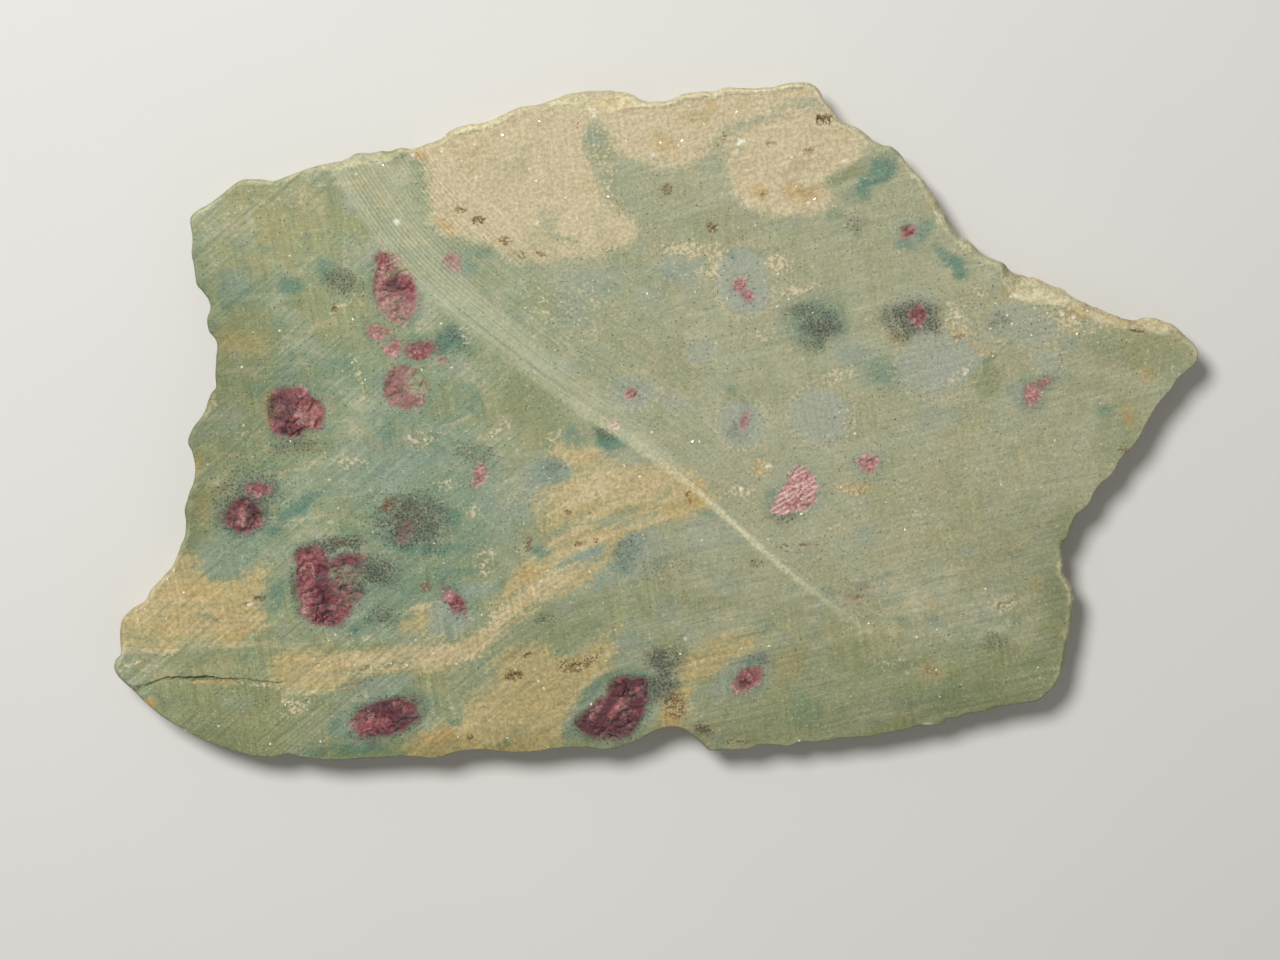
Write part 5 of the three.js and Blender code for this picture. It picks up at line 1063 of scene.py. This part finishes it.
# Sugary mineral grain at three sizes, all about 0 to 1.
def rockGrainGroup():
    tree, given, result = newGroup(
        "rockGrain", [("Place", "NodeSocketVector", None), ("Grain", "NodeSocketFloat", 0.45)],
        [("Fine", "NodeSocketFloat"), ("Medium", "NodeSocketFloat"), ("Patch", "NodeSocketFloat"),
         ("Coarse", "NodeSocketFloat"), ("Speck", "NodeSocketFloat")])
    scale = maths(tree, "DIVIDE", 1.0, given["Grain"])
    place = given["Place"]
    tree.links.new(grains(tree, place, scale, 4.0, 0.62), result["Fine"])
    tree.links.new(grains(tree, place, maths(tree, "MULTIPLY", scale, 0.3), 3.0, 0.6, 0.4), result["Medium"])
    tree.links.new(grains(tree, place, maths(tree, "MULTIPLY", scale, 0.075), 3.0, 0.55, 0.6),
                   result["Coarse"])
    moved = put(tree, "VectorMath", {0: place, 1: (31.0, 17.0, 5.0)}, operation="ADD").outputs[0]
    tree.links.new(grains(tree, moved, maths(tree, "MULTIPLY", scale, 0.15), 3.0, 0.6, 0.8), result["Patch"])
    tree.links.new(grains(tree, moved, maths(tree, "MULTIPLY", scale, 1.5), 1.0, 0.5), result["Speck"])
    return tree


# Thin dark partings between the grains of a crystal, 1 on the parting.
def partingGroup():
    tree, given, result = newGroup(
        "partings", [("Place", "NodeSocketVector", None), ("Size", "NodeSocketFloat", 1.0)],
        [("Partings", "NodeSocketFloat")])
    waver = put(tree, "TexNoise", {"Vector": given["Place"], "Scale": 1.4, "Detail": 3.0}).outputs["Color"]
    bent = put(tree, "VectorMath", {0: waver, "Scale": 1.3}, operation="SCALE").outputs[0]
    bent = put(tree, "VectorMath", {0: given["Place"], 1: bent}, operation="ADD").outputs[0]
    turned = put(tree, "VectorRotate", {"Vector": bent, "Angle": math.radians(-35.0)},
                 rotation_type="Z_AXIS").outputs[0]
    drawn = put(tree, "VectorMath", {0: turned, 1: (0.55, 1.0, 1.0)}, operation="MULTIPLY").outputs[0]
    edge = put(tree, "TexVoronoi", {"Vector": drawn, "Scale": maths(tree, "DIVIDE", 1.0, given["Size"])},
               feature="DISTANCE_TO_EDGE").outputs["Distance"]
    tree.links.new(fade(tree, edge, 0.02, 0.16, 1.0, 0.0), result["Partings"])
    return tree


sawLines, rockGrain, partingNet = sawLinesGroup(), rockGrainGroup(), partingGroup()


def lines(tree, along, across, height, pitch, length):
    sizes = {"Along": along, "Across": across, "Height": height, "Pitch": pitch, "Length": length}
    return groupNode(tree, sawLines, sizes)["Lines"]


# The same along a straight direction, in degrees from +X.
def straightLines(tree, place, turn, pitch, length):
    turned = put(tree, "VectorRotate", {"Vector": place, "Angle": math.radians(-turn)},
                 rotation_type="Z_AXIS").outputs[0]
    axes = put(tree, "SeparateXYZ", {0: turned}).outputs
    return lines(tree, axes[0], axes[1], axes[2], pitch, length)


def groupNode(tree, group, inputs):
    return put(tree, "Group", inputs, node_tree=group).outputs


def newMaterial(name):
    material = bpy.data.materials.new(name)
    material.use_nodes = True
    tree = material.node_tree
    tree.nodes.clear()
    shader = tree.nodes.new("ShaderNodeBsdfPrincipled")
    output = tree.nodes.new("ShaderNodeOutputMaterial")
    tree.links.new(shader.outputs[0], output.inputs[0])
    return material, tree, shader


stoneFinish = {
    "grain": 0.42,                # size of the finest grains, mm
    "mottle": 0.52,               # strength of the cloudy patches
    "speckLimit": 0.665,          # noise above this is a dark speck where the stone is plain
    "speckGain": 0.2,             # how far the dark zones lower that limit
    "lineDepth": 0.02,            # saw scratches, mm
    "grainDepth": 0.13,           # mm
    "brokenDepth": 0.3,           # mm
    "roughness": 0.66,
    "roughnessSwing": 0.12,
    "ior": 1.5,
    "darkest": 0.77,              # share of the colour left in the darkest grains
    "plainLift": 0.09,            # how much more of it is left on plain stone
    "streakPitch": 1.25,          # mm across and along the layers' streaks
    "streakLength": 11.0,
    "sawPitch": 0.26,             # mm between the scratches past the crest
    "sawLength": 30.0,
    "combPitch": 0.46,            # mm between the even saw marks at its upper end
    # lap marks: degrees from +X, then mm across and along them
    "leftLines": {"turn": 40.0, "pitch": 0.4, "length": 20.0},
    "rightLines": {"turn": 14.0, "pitch": 0.5, "length": 10.0},
    "steepLines": {"turn": 99.0, "pitch": 0.45, "length": 9.0},
    "rubyTurn": -28.0,            # degrees that the scratches on the rubies are turned by
    "rubyPitch": 0.56,            # mm between them
    "partingSize": 1.1,           # mm
}


# A noise moved to lie about 0 and made stronger.
def swing(tree, value, gain):
    return maths(tree, "MULTIPLY", maths(tree, "SUBTRACT", value, 0.5), gain)


def total(tree, first, *others):
    for other in others:
        first = maths(tree, "ADD", first, other)
    return first


def share(tree, value, other):
    return maths(tree, "MULTIPLY", value, other)


# Even ridges across a distance, 0 to 1.
def combed(tree, distance, pitch, waver):
    ripple = maths(tree, "MULTIPLY", total(tree, distance, waver), math.tau / pitch)
    return fade(tree, maths(tree, "SINE", ripple), -1.0, 1.0)


# Parts of the finish. Each takes the tree and its sockets, and gives a colour or a mask.
def plainStone(tree, value, rock, streaks):
    base = mixTint(tree, value["warmth"], tint("greenGrey"), tint("dustGrey"))
    calm = share(tree, value["warmth"], fade(tree, value["low"], 0.0, 1.0, 0.55, 0.1))
    lively = maths(tree, "SUBTRACT", 1.0, calm)
    cloudy = share(tree, lively, stoneFinish["mottle"])
    yellow = share(tree, cloudy, fade(tree, rock["Coarse"], 0.48, 0.62))
    base = mixTint(tree, yellow, base, tint("yellowGreen"))
    base = mixTint(tree, share(tree, value["straw"], 0.8), base, tint("straw"))
    grey = share(tree, cloudy, fade(tree, rock["Coarse"], 0.5, 0.34))
    base = mixTint(tree, grey, base, tint("paleGrey"))
    for field, low, high, strength, name in (
            (rock["Patch"], 0.52, 0.68, 0.34, "teal"), (rock["Patch"], 0.46, 0.32, 0.34, "tan"),
            (streaks, 0.55, 0.75, 0.42, "buffPale"), (streaks, 0.45, 0.3, 0.38, "olive")):
        patch = share(tree, lively, fade(tree, field, low, high, 0.0, strength))
        base = mixTint(tree, patch, base, tint(name))
    base = mixTint(tree, share(tree, value["olive"], 0.85), base, tint("olive"))
    teal = share(tree, value["teal"], fade(tree, rock["Medium"], 0.36, 0.56, 0.7, 1.0))
    base = mixTint(tree, teal, base, tint("teal"))
    base = mixTint(tree, share(tree, value["blue"], 0.8), base, tint("blueGrey"))
    base = mixTint(tree, share(tree, value["halo"], fade(tree, rock["Patch"], 0.3, 0.7, 0.95, 0.6)), base,
                   tint("halo"))
    rim = share(tree, value["haloRim"], fade(tree, rock["Fine"], 0.42, 0.62, 0.0, 0.6))
    return mixTint(tree, rim, base, tint("tan"))


def creamParts(tree, value, rock, streaks, base):
    sugar, cloud = swing(tree, rock["Fine"], 2.6), swing(tree, rock["Medium"], 1.4)
    tan = total(tree, share(tree, value["tan"], 0.85), share(tree, sugar, 1.5), share(tree, cloud, 0.6))
    base = mixTint(tree, fade(tree, tan, 0.5, 1.1, 0.0, 0.9), base, tint("tan"))
    # the border of the cream is ragged, and frays along the layers in the lower half
    fray = share(tree, swing(tree, streaks, 3.2), total(tree, value["buff"], 0.15))
    border = total(tree, value["cream"], fray, share(tree, sugar, 0.7), cloud, 0.35)
    mask = fade(tree, border, -0.8, 0.9)
    cream = mixTint(tree, value["buff"], tint("cream"), tint("buff"))
    layered = total(tree, value["buff"], 0.12)
    pale = share(tree, layered, fade(tree, streaks, 0.52, 0.66))
    cream = mixTint(tree, share(tree, pale, 0.55), cream, tint("buffPale"))
    cream = mixTint(tree, share(tree, value["tan"], 0.85), cream, tint("buffPale"))
    green = share(tree, layered, fade(tree, streaks, 0.48, 0.34))
    cream = mixTint(tree, share(tree, green, 0.5), cream, tint("buffGreen"))
    cream = mixTint(tree, fade(tree, rock["Coarse"], 0.48, 0.32, 0.0, 0.45), cream, tint("buffGreen"))
    cream = mixTint(tree, fade(tree, rock["Patch"], 0.54, 0.7, 0.0, 0.2), cream, tint("ochre"))
    base = mixTint(tree, share(tree, mask, 0.94), base, cream)
    warm = share(tree, value["ochre"], fade(tree, rock["Medium"], 0.3, 0.58, 0.35, 1.0))
    return mixTint(tree, share(tree, warm, 0.75), base, tint("ochre")), mask


def rubyParts(tree, value, rock, partings, scratches, base):
    wander, sugar = swing(tree, rock["Medium"], 1.7), swing(tree, rock["Fine"], 1.3)
    knot = total(tree, value["ruby"], wander, sugar)
    mask = fade(tree, knot, -0.42, 0.42)
    veil = share(tree, value["veil"], fade(tree, rock["Fine"], 0.68, 0.44))
    mask = share(tree, mask, maths(tree, "SUBTRACT", 1.0, veil))
    calm = maths(tree, "SUBTRACT", 1.2, value["tone"])
    shade = total(tree, value["tone"], share(tree, wander, calm), share(tree, sugar, 0.6))
    ruby = mixTint(tree, fade(tree, shade, -0.1, 0.5), tint("rubyDeep"), tint("rubyRose"))
    ruby = mixTint(tree, fade(tree, shade, 0.45, 1.0), ruby, tint("rubyPink"))
    # the furrows are darkened as painted shade in their hollows; the partings are dark joints
    depth = maths(tree, "SUBTRACT", 1.15, value["tone"])
    parted = share(tree, partings, fade(tree, rock["Medium"], 0.4, 0.6))
    cracks = maths(tree, "MAXIMUM", value["furrow"], parted)
    gap = fade(tree, total(tree, cracks, share(tree, sugar, 0.5)), 0.25, 0.95, 0.0, 0.9)
    ruby = mixTint(tree, share(tree, gap, depth), ruby, tint("rubyGapShade"))
    veins = share(tree, fade(tree, rock["Medium"], 0.56, 0.68), fade(tree, rock["Fine"], 0.4, 0.6))
    veins = share(tree, veins, total(tree, share(tree, value["tone"], 0.6), 0.2))
    ruby = mixTint(tree, veins, ruby, tint("rubyPink"))
    scored = share(tree, scratches, fade(tree, value["tone"], 0.62, 0.85))
    ruby = mixTint(tree, share(tree, scored, fade(tree, rock["Medium"], 0.38, 0.55)), ruby, tint("rubyGlaze"))
    return mixTint(tree, mask, base, ruby), mask


def specksAndStains(tree, value, rock, creamMask, rubyMask, base):
    bare = maths(tree, "SUBTRACT", 1.0, rubyMask)
    dark = share(tree, value["dark"], fade(tree, bare, 0.0, 1.0, 0.3, 1.0))
    smoke = fade(tree, total(tree, dark, swing(tree, rock["Medium"], 1.0)), 0.1, 1.0, 0.0, 0.6)
    base = mixTint(tree, smoke, base, tint("smoke"))
    limit = maths(tree, "SUBTRACT", stoneFinish["speckLimit"], share(tree, dark, stoneFinish["speckGain"]))
    limit = maths(tree, "ADD", limit, share(tree, value["warmth"], 0.02))
    freckle = fade(tree, maths(tree, "SUBTRACT", rock["Speck"], limit), -0.01, 0.05)
    freckle = share(tree, freckle, fade(tree, creamMask, 0.0, 1.0, 0.75, 0.16))
    base = mixTint(tree, freckle, base, tint("speckDark"))
    pale = share(tree, bare, fade(tree, rock["Speck"], 0.34, 0.27, 0.0, 0.45))
    base = mixTint(tree, pale, base, tint("speckLight"))
    # rust gathers in grains, black where it is thickest
    clumps = total(tree, swing(tree, rock["Speck"], 2.6), swing(tree, rock["Medium"], 1.8), 0.8)
    rust = share(tree, value["rust"], clumps)
    base = mixTint(tree, fade(tree, rust, 0.35, 1.0, 0.0, 0.85), base, tint("rust"))
    base = mixTint(tree, fade(tree, rust, 1.1, 1.7, 0.0, 0.8), base, tint("pit"))
    shadow = share(tree, dark, fade(tree, rock["Medium"], 0.3, 0.6, 0.08, 0.38))
    return put(tree, "VectorMath", {0: base, "Scale": maths(tree, "SUBTRACT", 1.0, shadow)},
               operation="SCALE").outputs[0]


def dustChipsAndHighlights(tree, value, rock, sawn, base):
    # the slope of the saw step: pale dust, with painted highlight where the slope faces the lamp
    bandDustAndHighlight = share(tree, value["band"], fade(tree, sawn, 0.34, 0.66, 0.2, 0.5))
    base = mixTint(tree, bandDustAndHighlight, base, tint("dustAndHighlight"))
    # pale line along the crest of the step: a chipped edge, with painted highlight
    crest = share(tree, value["crest"], fade(tree, rock["Fine"], 0.35, 0.55, 0.35, 0.8))
    base = mixTint(tree, crest, base, tint("chipAndHighlight"))
    # chips of the broken rim, painted paler on the edges that face the key light
    chips = share(tree, value["broken"], fade(tree, rock["Medium"], 0.3, 0.6, 0.15, 0.82))
    base = mixTint(tree, chips, base, tint("chipAndHighlight"))
    # painted glints: mica-white spots
    return mixTint(tree, value["paintedGlint"], base, tint("mica"))


def stoneMaterial():
    material, tree, shader = newMaterial("ruby in fuchsite")
    place = millimetres(tree)
    height = put(tree, "SeparateXYZ", {0: place}).outputs[2]
    rock = groupNode(tree, rockGrain, {"Place": place, "Grain": stoneFinish["grain"]})
    value = {name: carried(tree, name) for name in (
        "cream", "ruby", "tone", "furrow", "veil", "halo", "haloRim", "teal", "blue", "dark", "rust",
        "ochre", "tan", "olive", "paintedShade", "paintedGlint", "band", "crest", "past", "strata", "broken", "warmth",
        "buff", "straw", "comb")}
    across, along = put(tree, "SeparateXYZ", {0: place}).outputs[:2]
    value["low"] = fade(tree, along, -13.0, -25.0)
    streaks = lines(tree, across, value["strata"], height, stoneFinish["streakPitch"],
                    stoneFinish["streakLength"])
    sawn = lines(tree, across, value["past"], height, stoneFinish["sawPitch"], stoneFinish["sawLength"])
    leftLines, rightLines, steepLines = (straightLines(tree, place, **stoneFinish[side])
                                         for side in ("leftLines", "rightLines", "steepLines"))

    base = plainStone(tree, value, rock, streaks)
    base, creamMask = creamParts(tree, value, rock, streaks, base)
    turned = put(tree, "VectorRotate", {"Vector": place, "Angle": math.radians(stoneFinish["rubyTurn"])},
                 rotation_type="Z_AXIS")
    slant = put(tree, "SeparateXYZ", {0: turned.outputs[0]}).outputs[1]
    ridges = combed(tree, slant, stoneFinish["rubyPitch"], swing(tree, rock["Medium"], 0.5))
    scratches = fade(tree, ridges, 0.62, 0.95)
    partings = groupNode(tree, partingNet, {"Place": place, "Size": stoneFinish["partingSize"]})["Partings"]
    base, rubyMask = rubyParts(tree, value, rock, partings, scratches, base)
    base = specksAndStains(tree, value, rock, creamMask, rubyMask, base)
    base = dustChipsAndHighlights(tree, value, rock, sawn, base)
    # painted shade, multiplied over the colour towards the lower and left rims
    base = mixTint(tree, value["paintedShade"], base, tint("paintedShade"), "MULTIPLY")

    # lap marks and grain as light and dark
    lap = mixNumber(tree, value["warmth"], leftLines, rightLines)
    lap = mixNumber(tree, fade(tree, rock["Coarse"], 0.5, 0.58, 0.0, 0.8), lap, steepLines)
    beyond = share(tree, fade(tree, value["past"], -0.3, 0.6), fade(tree, value["past"], 26.0, 4.0))
    lap = mixNumber(tree, share(tree, beyond, fade(tree, across, 42.0, 4.0, 0.0, 0.8)), lap, sawn)
    comb = fade(tree, combed(tree, value["past"], stoneFinish["combPitch"], share(tree, sawn, 0.3)),
                0.0, 1.0, 0.36, 0.64)
    combShare = share(tree, value["comb"], fade(tree, rock["Coarse"], 0.4, 0.55, 0.4, 0.9))
    lap = mixNumber(tree, combShare, lap, comb)
    plain = share(tree, fade(tree, creamMask, 1.0, 0.0), fade(tree, rubyMask, 1.0, 0.0))
    plain = share(tree, plain, fade(tree, value["dark"], 0.5, 0.0, 0.0, stoneFinish["plainLift"]))
    darkest = maths(tree, "ADD", plain, stoneFinish["darkest"])
    grain = put(tree, "MapRange", {"Value": rock["Fine"], "From Min": 0.28, "From Max": 0.72,
                                   "To Min": darkest, "To Max": maths(tree, "SUBTRACT", 2.0, darkest)},
                interpolation_type="SMOOTHSTEP").outputs[0]
    deep = total(tree, fade(tree, value["warmth"], 0.0, 1.0, 0.95, 0.6), share(tree, value["low"], 0.35))
    scored = maths(tree, "ADD", share(tree, swing(tree, lap, 1.0), deep), 1.0)
    light = maths(tree, "MULTIPLY", scored, grain)
    base = put(tree, "VectorMath", {0: base, "Scale": light}, operation="SCALE").outputs[0]
    tree.links.new(base, shader.inputs["Base Color"])

    roughness, uneven = stoneFinish["roughness"], stoneFinish["roughnessSwing"]
    rough = fade(tree, rock["Fine"], 0.3, 0.7, roughness - uneven, roughness + uneven)
    rough = maths(tree, "SUBTRACT", rough, share(tree, rubyMask, 0.1))
    tree.links.new(rough, shader.inputs["Roughness"])
    shader.inputs["IOR"].default_value = stoneFinish["ior"]

    rugged = share(tree, share(tree, rock["Medium"], value["broken"]), stoneFinish["brokenDepth"])
    relief = total(tree, share(tree, lap, stoneFinish["lineDepth"]),
                   share(tree, rock["Fine"], stoneFinish["grainDepth"]), rugged)
    bump = put(tree, "Bump", {"Height": relief, "Distance": metre, "Strength": 1.0}).outputs[0]
    tree.links.new(bump, shader.inputs["Normal"])
    return material


slabStone.data.materials.append(stoneMaterial())
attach(slabStone, "root")
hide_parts("slab")
print("slab: finish made")

micaFlakes = {
    "density": 0.13,              # flakes on a square millimetre where the stone is cream
    "seed": 7,
    "smallest": 0.06,             # half width of a flake, mm
    "largest": 0.2,
    "thickness": 0.05,            # mm
    "sides": 6,
    "tilt": 14.0,                 # degrees off the face, at most
    "grain": 0.2,                 # of the flakes' own finish, mm
    "ripple": 0.03,               # mm
    "ior": 1.58,
}


# Adds a geometry node and gives its outputs.
def putNode(tree, kind, inputs=None, **settings):
    return addNode(tree, kind, inputs, **settings).outputs


# Scatters thin plates over a surface, thickest where its "flakes" attribute is high.
def flakeTree(material):
    tree = bpy.data.node_groups.new("mica flakes", "GeometryNodeTree")
    tree.interface.new_socket("Geometry", in_out="INPUT", socket_type="NodeSocketGeometry")
    for name, kind in (("Density", "NodeSocketFloat"), ("Smallest", "NodeSocketFloat"),
                       ("Largest", "NodeSocketFloat"), ("Thickness", "NodeSocketFloat"),
                       ("Tilt", "NodeSocketFloat"), ("Sides", "NodeSocketInt"), ("Seed", "NodeSocketInt")):
        tree.interface.new_socket(name, in_out="INPUT", socket_type=kind)
    tree.interface.new_socket("Geometry", in_out="OUTPUT", socket_type="NodeSocketGeometry")
    given = tree.nodes.new("NodeGroupInput").outputs
    weight = putNode(tree, "GeometryNodeInputNamedAttribute", {"Name": "flakes"},
                     data_type="FLOAT")["Attribute"]
    density = putNode(tree, "ShaderNodeMath", {0: weight, 1: given["Density"]}, operation="MULTIPLY")[0]
    spread = putNode(tree, "GeometryNodeDistributePointsOnFaces",
                     {"Mesh": given["Geometry"], "Density": density, "Seed": given["Seed"]})
    plate = putNode(tree, "GeometryNodeMeshCylinder",
                    {"Vertices": given["Sides"], "Radius": 1.0, "Depth": given["Thickness"]})["Mesh"]
    lean = putNode(tree, "ShaderNodeMath", {0: given["Tilt"], 1: -1.0}, operation="MULTIPLY")[0]
    low = putNode(tree, "ShaderNodeCombineXYZ", {0: lean, 1: lean, 2: 0.0})[0]
    high = putNode(tree, "ShaderNodeCombineXYZ", {0: given["Tilt"], 1: given["Tilt"], 2: math.tau})[0]
    turn = putNode(tree, "FunctionNodeRandomValue", {0: low, 1: high, "Seed": given["Seed"]},
                   data_type="FLOAT_VECTOR")[0]
    turned = putNode(tree, "FunctionNodeRotateRotation",
                     {0: spread["Rotation"], 1: putNode(tree, "FunctionNodeEulerToRotation", {0: turn})[0]},
                     rotation_space="LOCAL")[0]
    least = putNode(tree, "ShaderNodeCombineXYZ", {0: given["Smallest"], 1: given["Smallest"], 2: 1.0})[0]
    most = putNode(tree, "ShaderNodeCombineXYZ", {0: given["Largest"], 1: given["Largest"], 2: 1.0})[0]
    size = putNode(tree, "FunctionNodeRandomValue", {0: least, 1: most, "Seed": given["Seed"]},
                   data_type="FLOAT_VECTOR")[0]
    placed = putNode(tree, "GeometryNodeInstanceOnPoints", {
        "Points": spread["Points"], "Instance": plate, "Rotation": turned, "Scale": size})["Instances"]
    whole = putNode(tree, "GeometryNodeRealizeInstances", {"Geometry": placed})["Geometry"]
    finished = putNode(tree, "GeometryNodeSetMaterial", {"Geometry": whole, "Material": material})["Geometry"]
    tree.links.new(finished, tree.nodes.new("NodeGroupOutput").inputs["Geometry"])
    return tree


def micaMaterial():
    material, tree, shader = newMaterial("mica")
    rock = groupNode(tree, rockGrain, {"Place": millimetres(tree), "Grain": micaFlakes["grain"]})
    colour = mixTint(tree, fade(tree, rock["Medium"], 0.35, 0.65), tint("mica"), tint("speckLight"))
    tree.links.new(colour, shader.inputs["Base Color"])
    tree.links.new(fade(tree, rock["Fine"], 0.3, 0.7, 0.12, 0.35), shader.inputs["Roughness"])
    bump = put(tree, "Bump", {"Height": rock["Fine"], "Distance": micaFlakes["ripple"] * metre,
                              "Strength": 1.0}).outputs[0]
    tree.links.new(bump, shader.inputs["Normal"])
    shader.inputs["IOR"].default_value = micaFlakes["ior"]
    return material


def makeFlakes():
    material = micaMaterial()
    tree = flakeTree(material)
    seedbed = bpy.data.objects.new("flake bed", slabStone.data)
    bpy.context.collection.objects.link(seedbed)
    scatter = seedbed.modifiers.new("flakes", "NODES")
    scatter.node_group = tree
    given = {"Density": micaFlakes["density"] / metre ** 2, "Smallest": micaFlakes["smallest"] * metre,
             "Largest": micaFlakes["largest"] * metre, "Thickness": micaFlakes["thickness"] * metre,
             "Tilt": math.radians(micaFlakes["tilt"]), "Sides": micaFlakes["sides"],
             "Seed": micaFlakes["seed"]}
    for socket in tree.interface.items_tree:
        if socket.in_out == "INPUT" and socket.name in given:
            scatter[socket.identifier] = given[socket.name]
    evaluated = seedbed.evaluated_get(bpy.context.evaluated_depsgraph_get())
    mesh = bpy.data.meshes.new_from_object(evaluated)
    bpy.data.objects.remove(seedbed)
    mesh.name = "micaFlakes"
    # every flake stays inside the stone's own reach
    spots = np.empty(len(mesh.vertices) * 3, np.float32)
    mesh.vertices.foreach_get("co", spots)
    lowCad, highCad = (np.array(corner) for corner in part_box("slab"))
    inset = slabShape["clearance"] * metre
    held = np.clip(spots.reshape(-1, 3), lowCad + inset, highCad - inset)
    mesh.vertices.foreach_set("co", held.astype(np.float32).ravel())
    mesh.update()
    flakes = bpy.data.objects.new("micaFlakes", mesh)
    bpy.context.collection.objects.link(flakes)
    return flakes


flakes = makeFlakes()
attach(flakes, "root")
print(f"flakes: {len(flakes.data.polygons) // (micaFlakes['sides'] + 2)} scattered")

# Floor, lights and camera

studio = {
    "keyPlace": (-0.16, 0.21, 0.46),
    "keySize": 0.16,
    "keyPower": 2.6,
    "fillPlace": (0.5, -0.45, 0.6),
    "fillSize": 0.8,
    "fillPower": 0.46,
    "sky": 0.24,
    "lens": 85.0,
    "tilt": 7.0,                  # degrees from straight down, towards the slab's top edge
    "aim": (-1.8, -6.5),          # mm, in the outline's frame
    "distance": 0.36267,
    "sensorWidth": 36.0,
    "nearest": 0.01, "farthest": 20.0,
    "skyTint": (1.0, 0.99, 0.97, 1.0),
    "floorSize": 4.0,
    "floorDrop": 0.00004,         # keeps the floor just clear of the underside
    "floorTint": (0.5, 0.5, 0.48, 1.0),
    "floorRoughness": 0.9,
}


def makeFloor():
    bpy.ops.mesh.primitive_grid_add(x_subdivisions=4, y_subdivisions=4, size=studio["floorSize"],
                                    location=(0, 0, 0))
    floor = bpy.context.object
    floor.name = "floor"
    floor.data.transform(Matrix.Translation((0, 0, -studio["floorDrop"])))
    material, tree, shader = newMaterial("pale floor")
    shade = grains(tree, millimetres(tree), 0.02, 2.0)
    colour = mixTint(tree, fade(tree, shade, 0.3, 0.7, 0.0, 0.05), tint("floor"), studio["floorTint"])
    tree.links.new(colour, shader.inputs["Base Color"])
    shader.inputs["Roughness"].default_value = studio["floorRoughness"]
    floor.data.materials.append(material)


def areaLight(name, place, size, power, target):
    lamp = bpy.data.lights.new(name, "AREA")
    lamp.shape = "DISK"
    lamp.size = size
    lamp.energy = power
    light = bpy.data.objects.new(name, lamp)
    light.location = place
    light.rotation_euler = (target - Vector(place)).to_track_quat("-Z", "Y").to_euler()
    bpy.context.collection.objects.link(light)


def makeCamera(target):
    camera = bpy.data.objects.new("camera", bpy.data.cameras.new("camera"))
    camera.data.lens = studio["lens"]
    camera.data.sensor_width = studio["sensorWidth"]
    tilt = math.radians(studio["tilt"])
    back = Vector((0, math.sin(tilt), math.cos(tilt)))
    up = Vector((0, math.cos(tilt), -math.sin(tilt)))
    camera.location = target + back * studio["distance"]
    camera.rotation_euler = Matrix((Vector((1, 0, 0)), up, back)).transposed().to_euler()
    camera.data.clip_start, camera.data.clip_end = studio["nearest"], studio["farthest"]
    bpy.context.collection.objects.link(camera)
    bpy.context.scene.camera = camera


makeFloor()
middle = Vector((0, 0, slabShape["thickness"] * metre))
areaLight("key light", studio["keyPlace"], studio["keySize"], studio["keyPower"], middle)
areaLight("fill light", studio["fillPlace"], studio["fillSize"], studio["fillPower"], middle)
world = bpy.data.worlds.new("studio")
bpy.context.scene.world = world
world.use_nodes = True
background = world.node_tree.nodes["Background"].inputs
background["Color"].default_value = studio["skyTint"]
background["Strength"].default_value = studio["sky"]
bpy.context.scene.view_settings.view_transform = "Standard"
aimX, aimY = ((studio["aim"][i] + frameShift[i]) * metre for i in (0, 1))
makeCamera(Vector((aimX, aimY, middle.z)))
print("studio: floor, lights and camera placed")
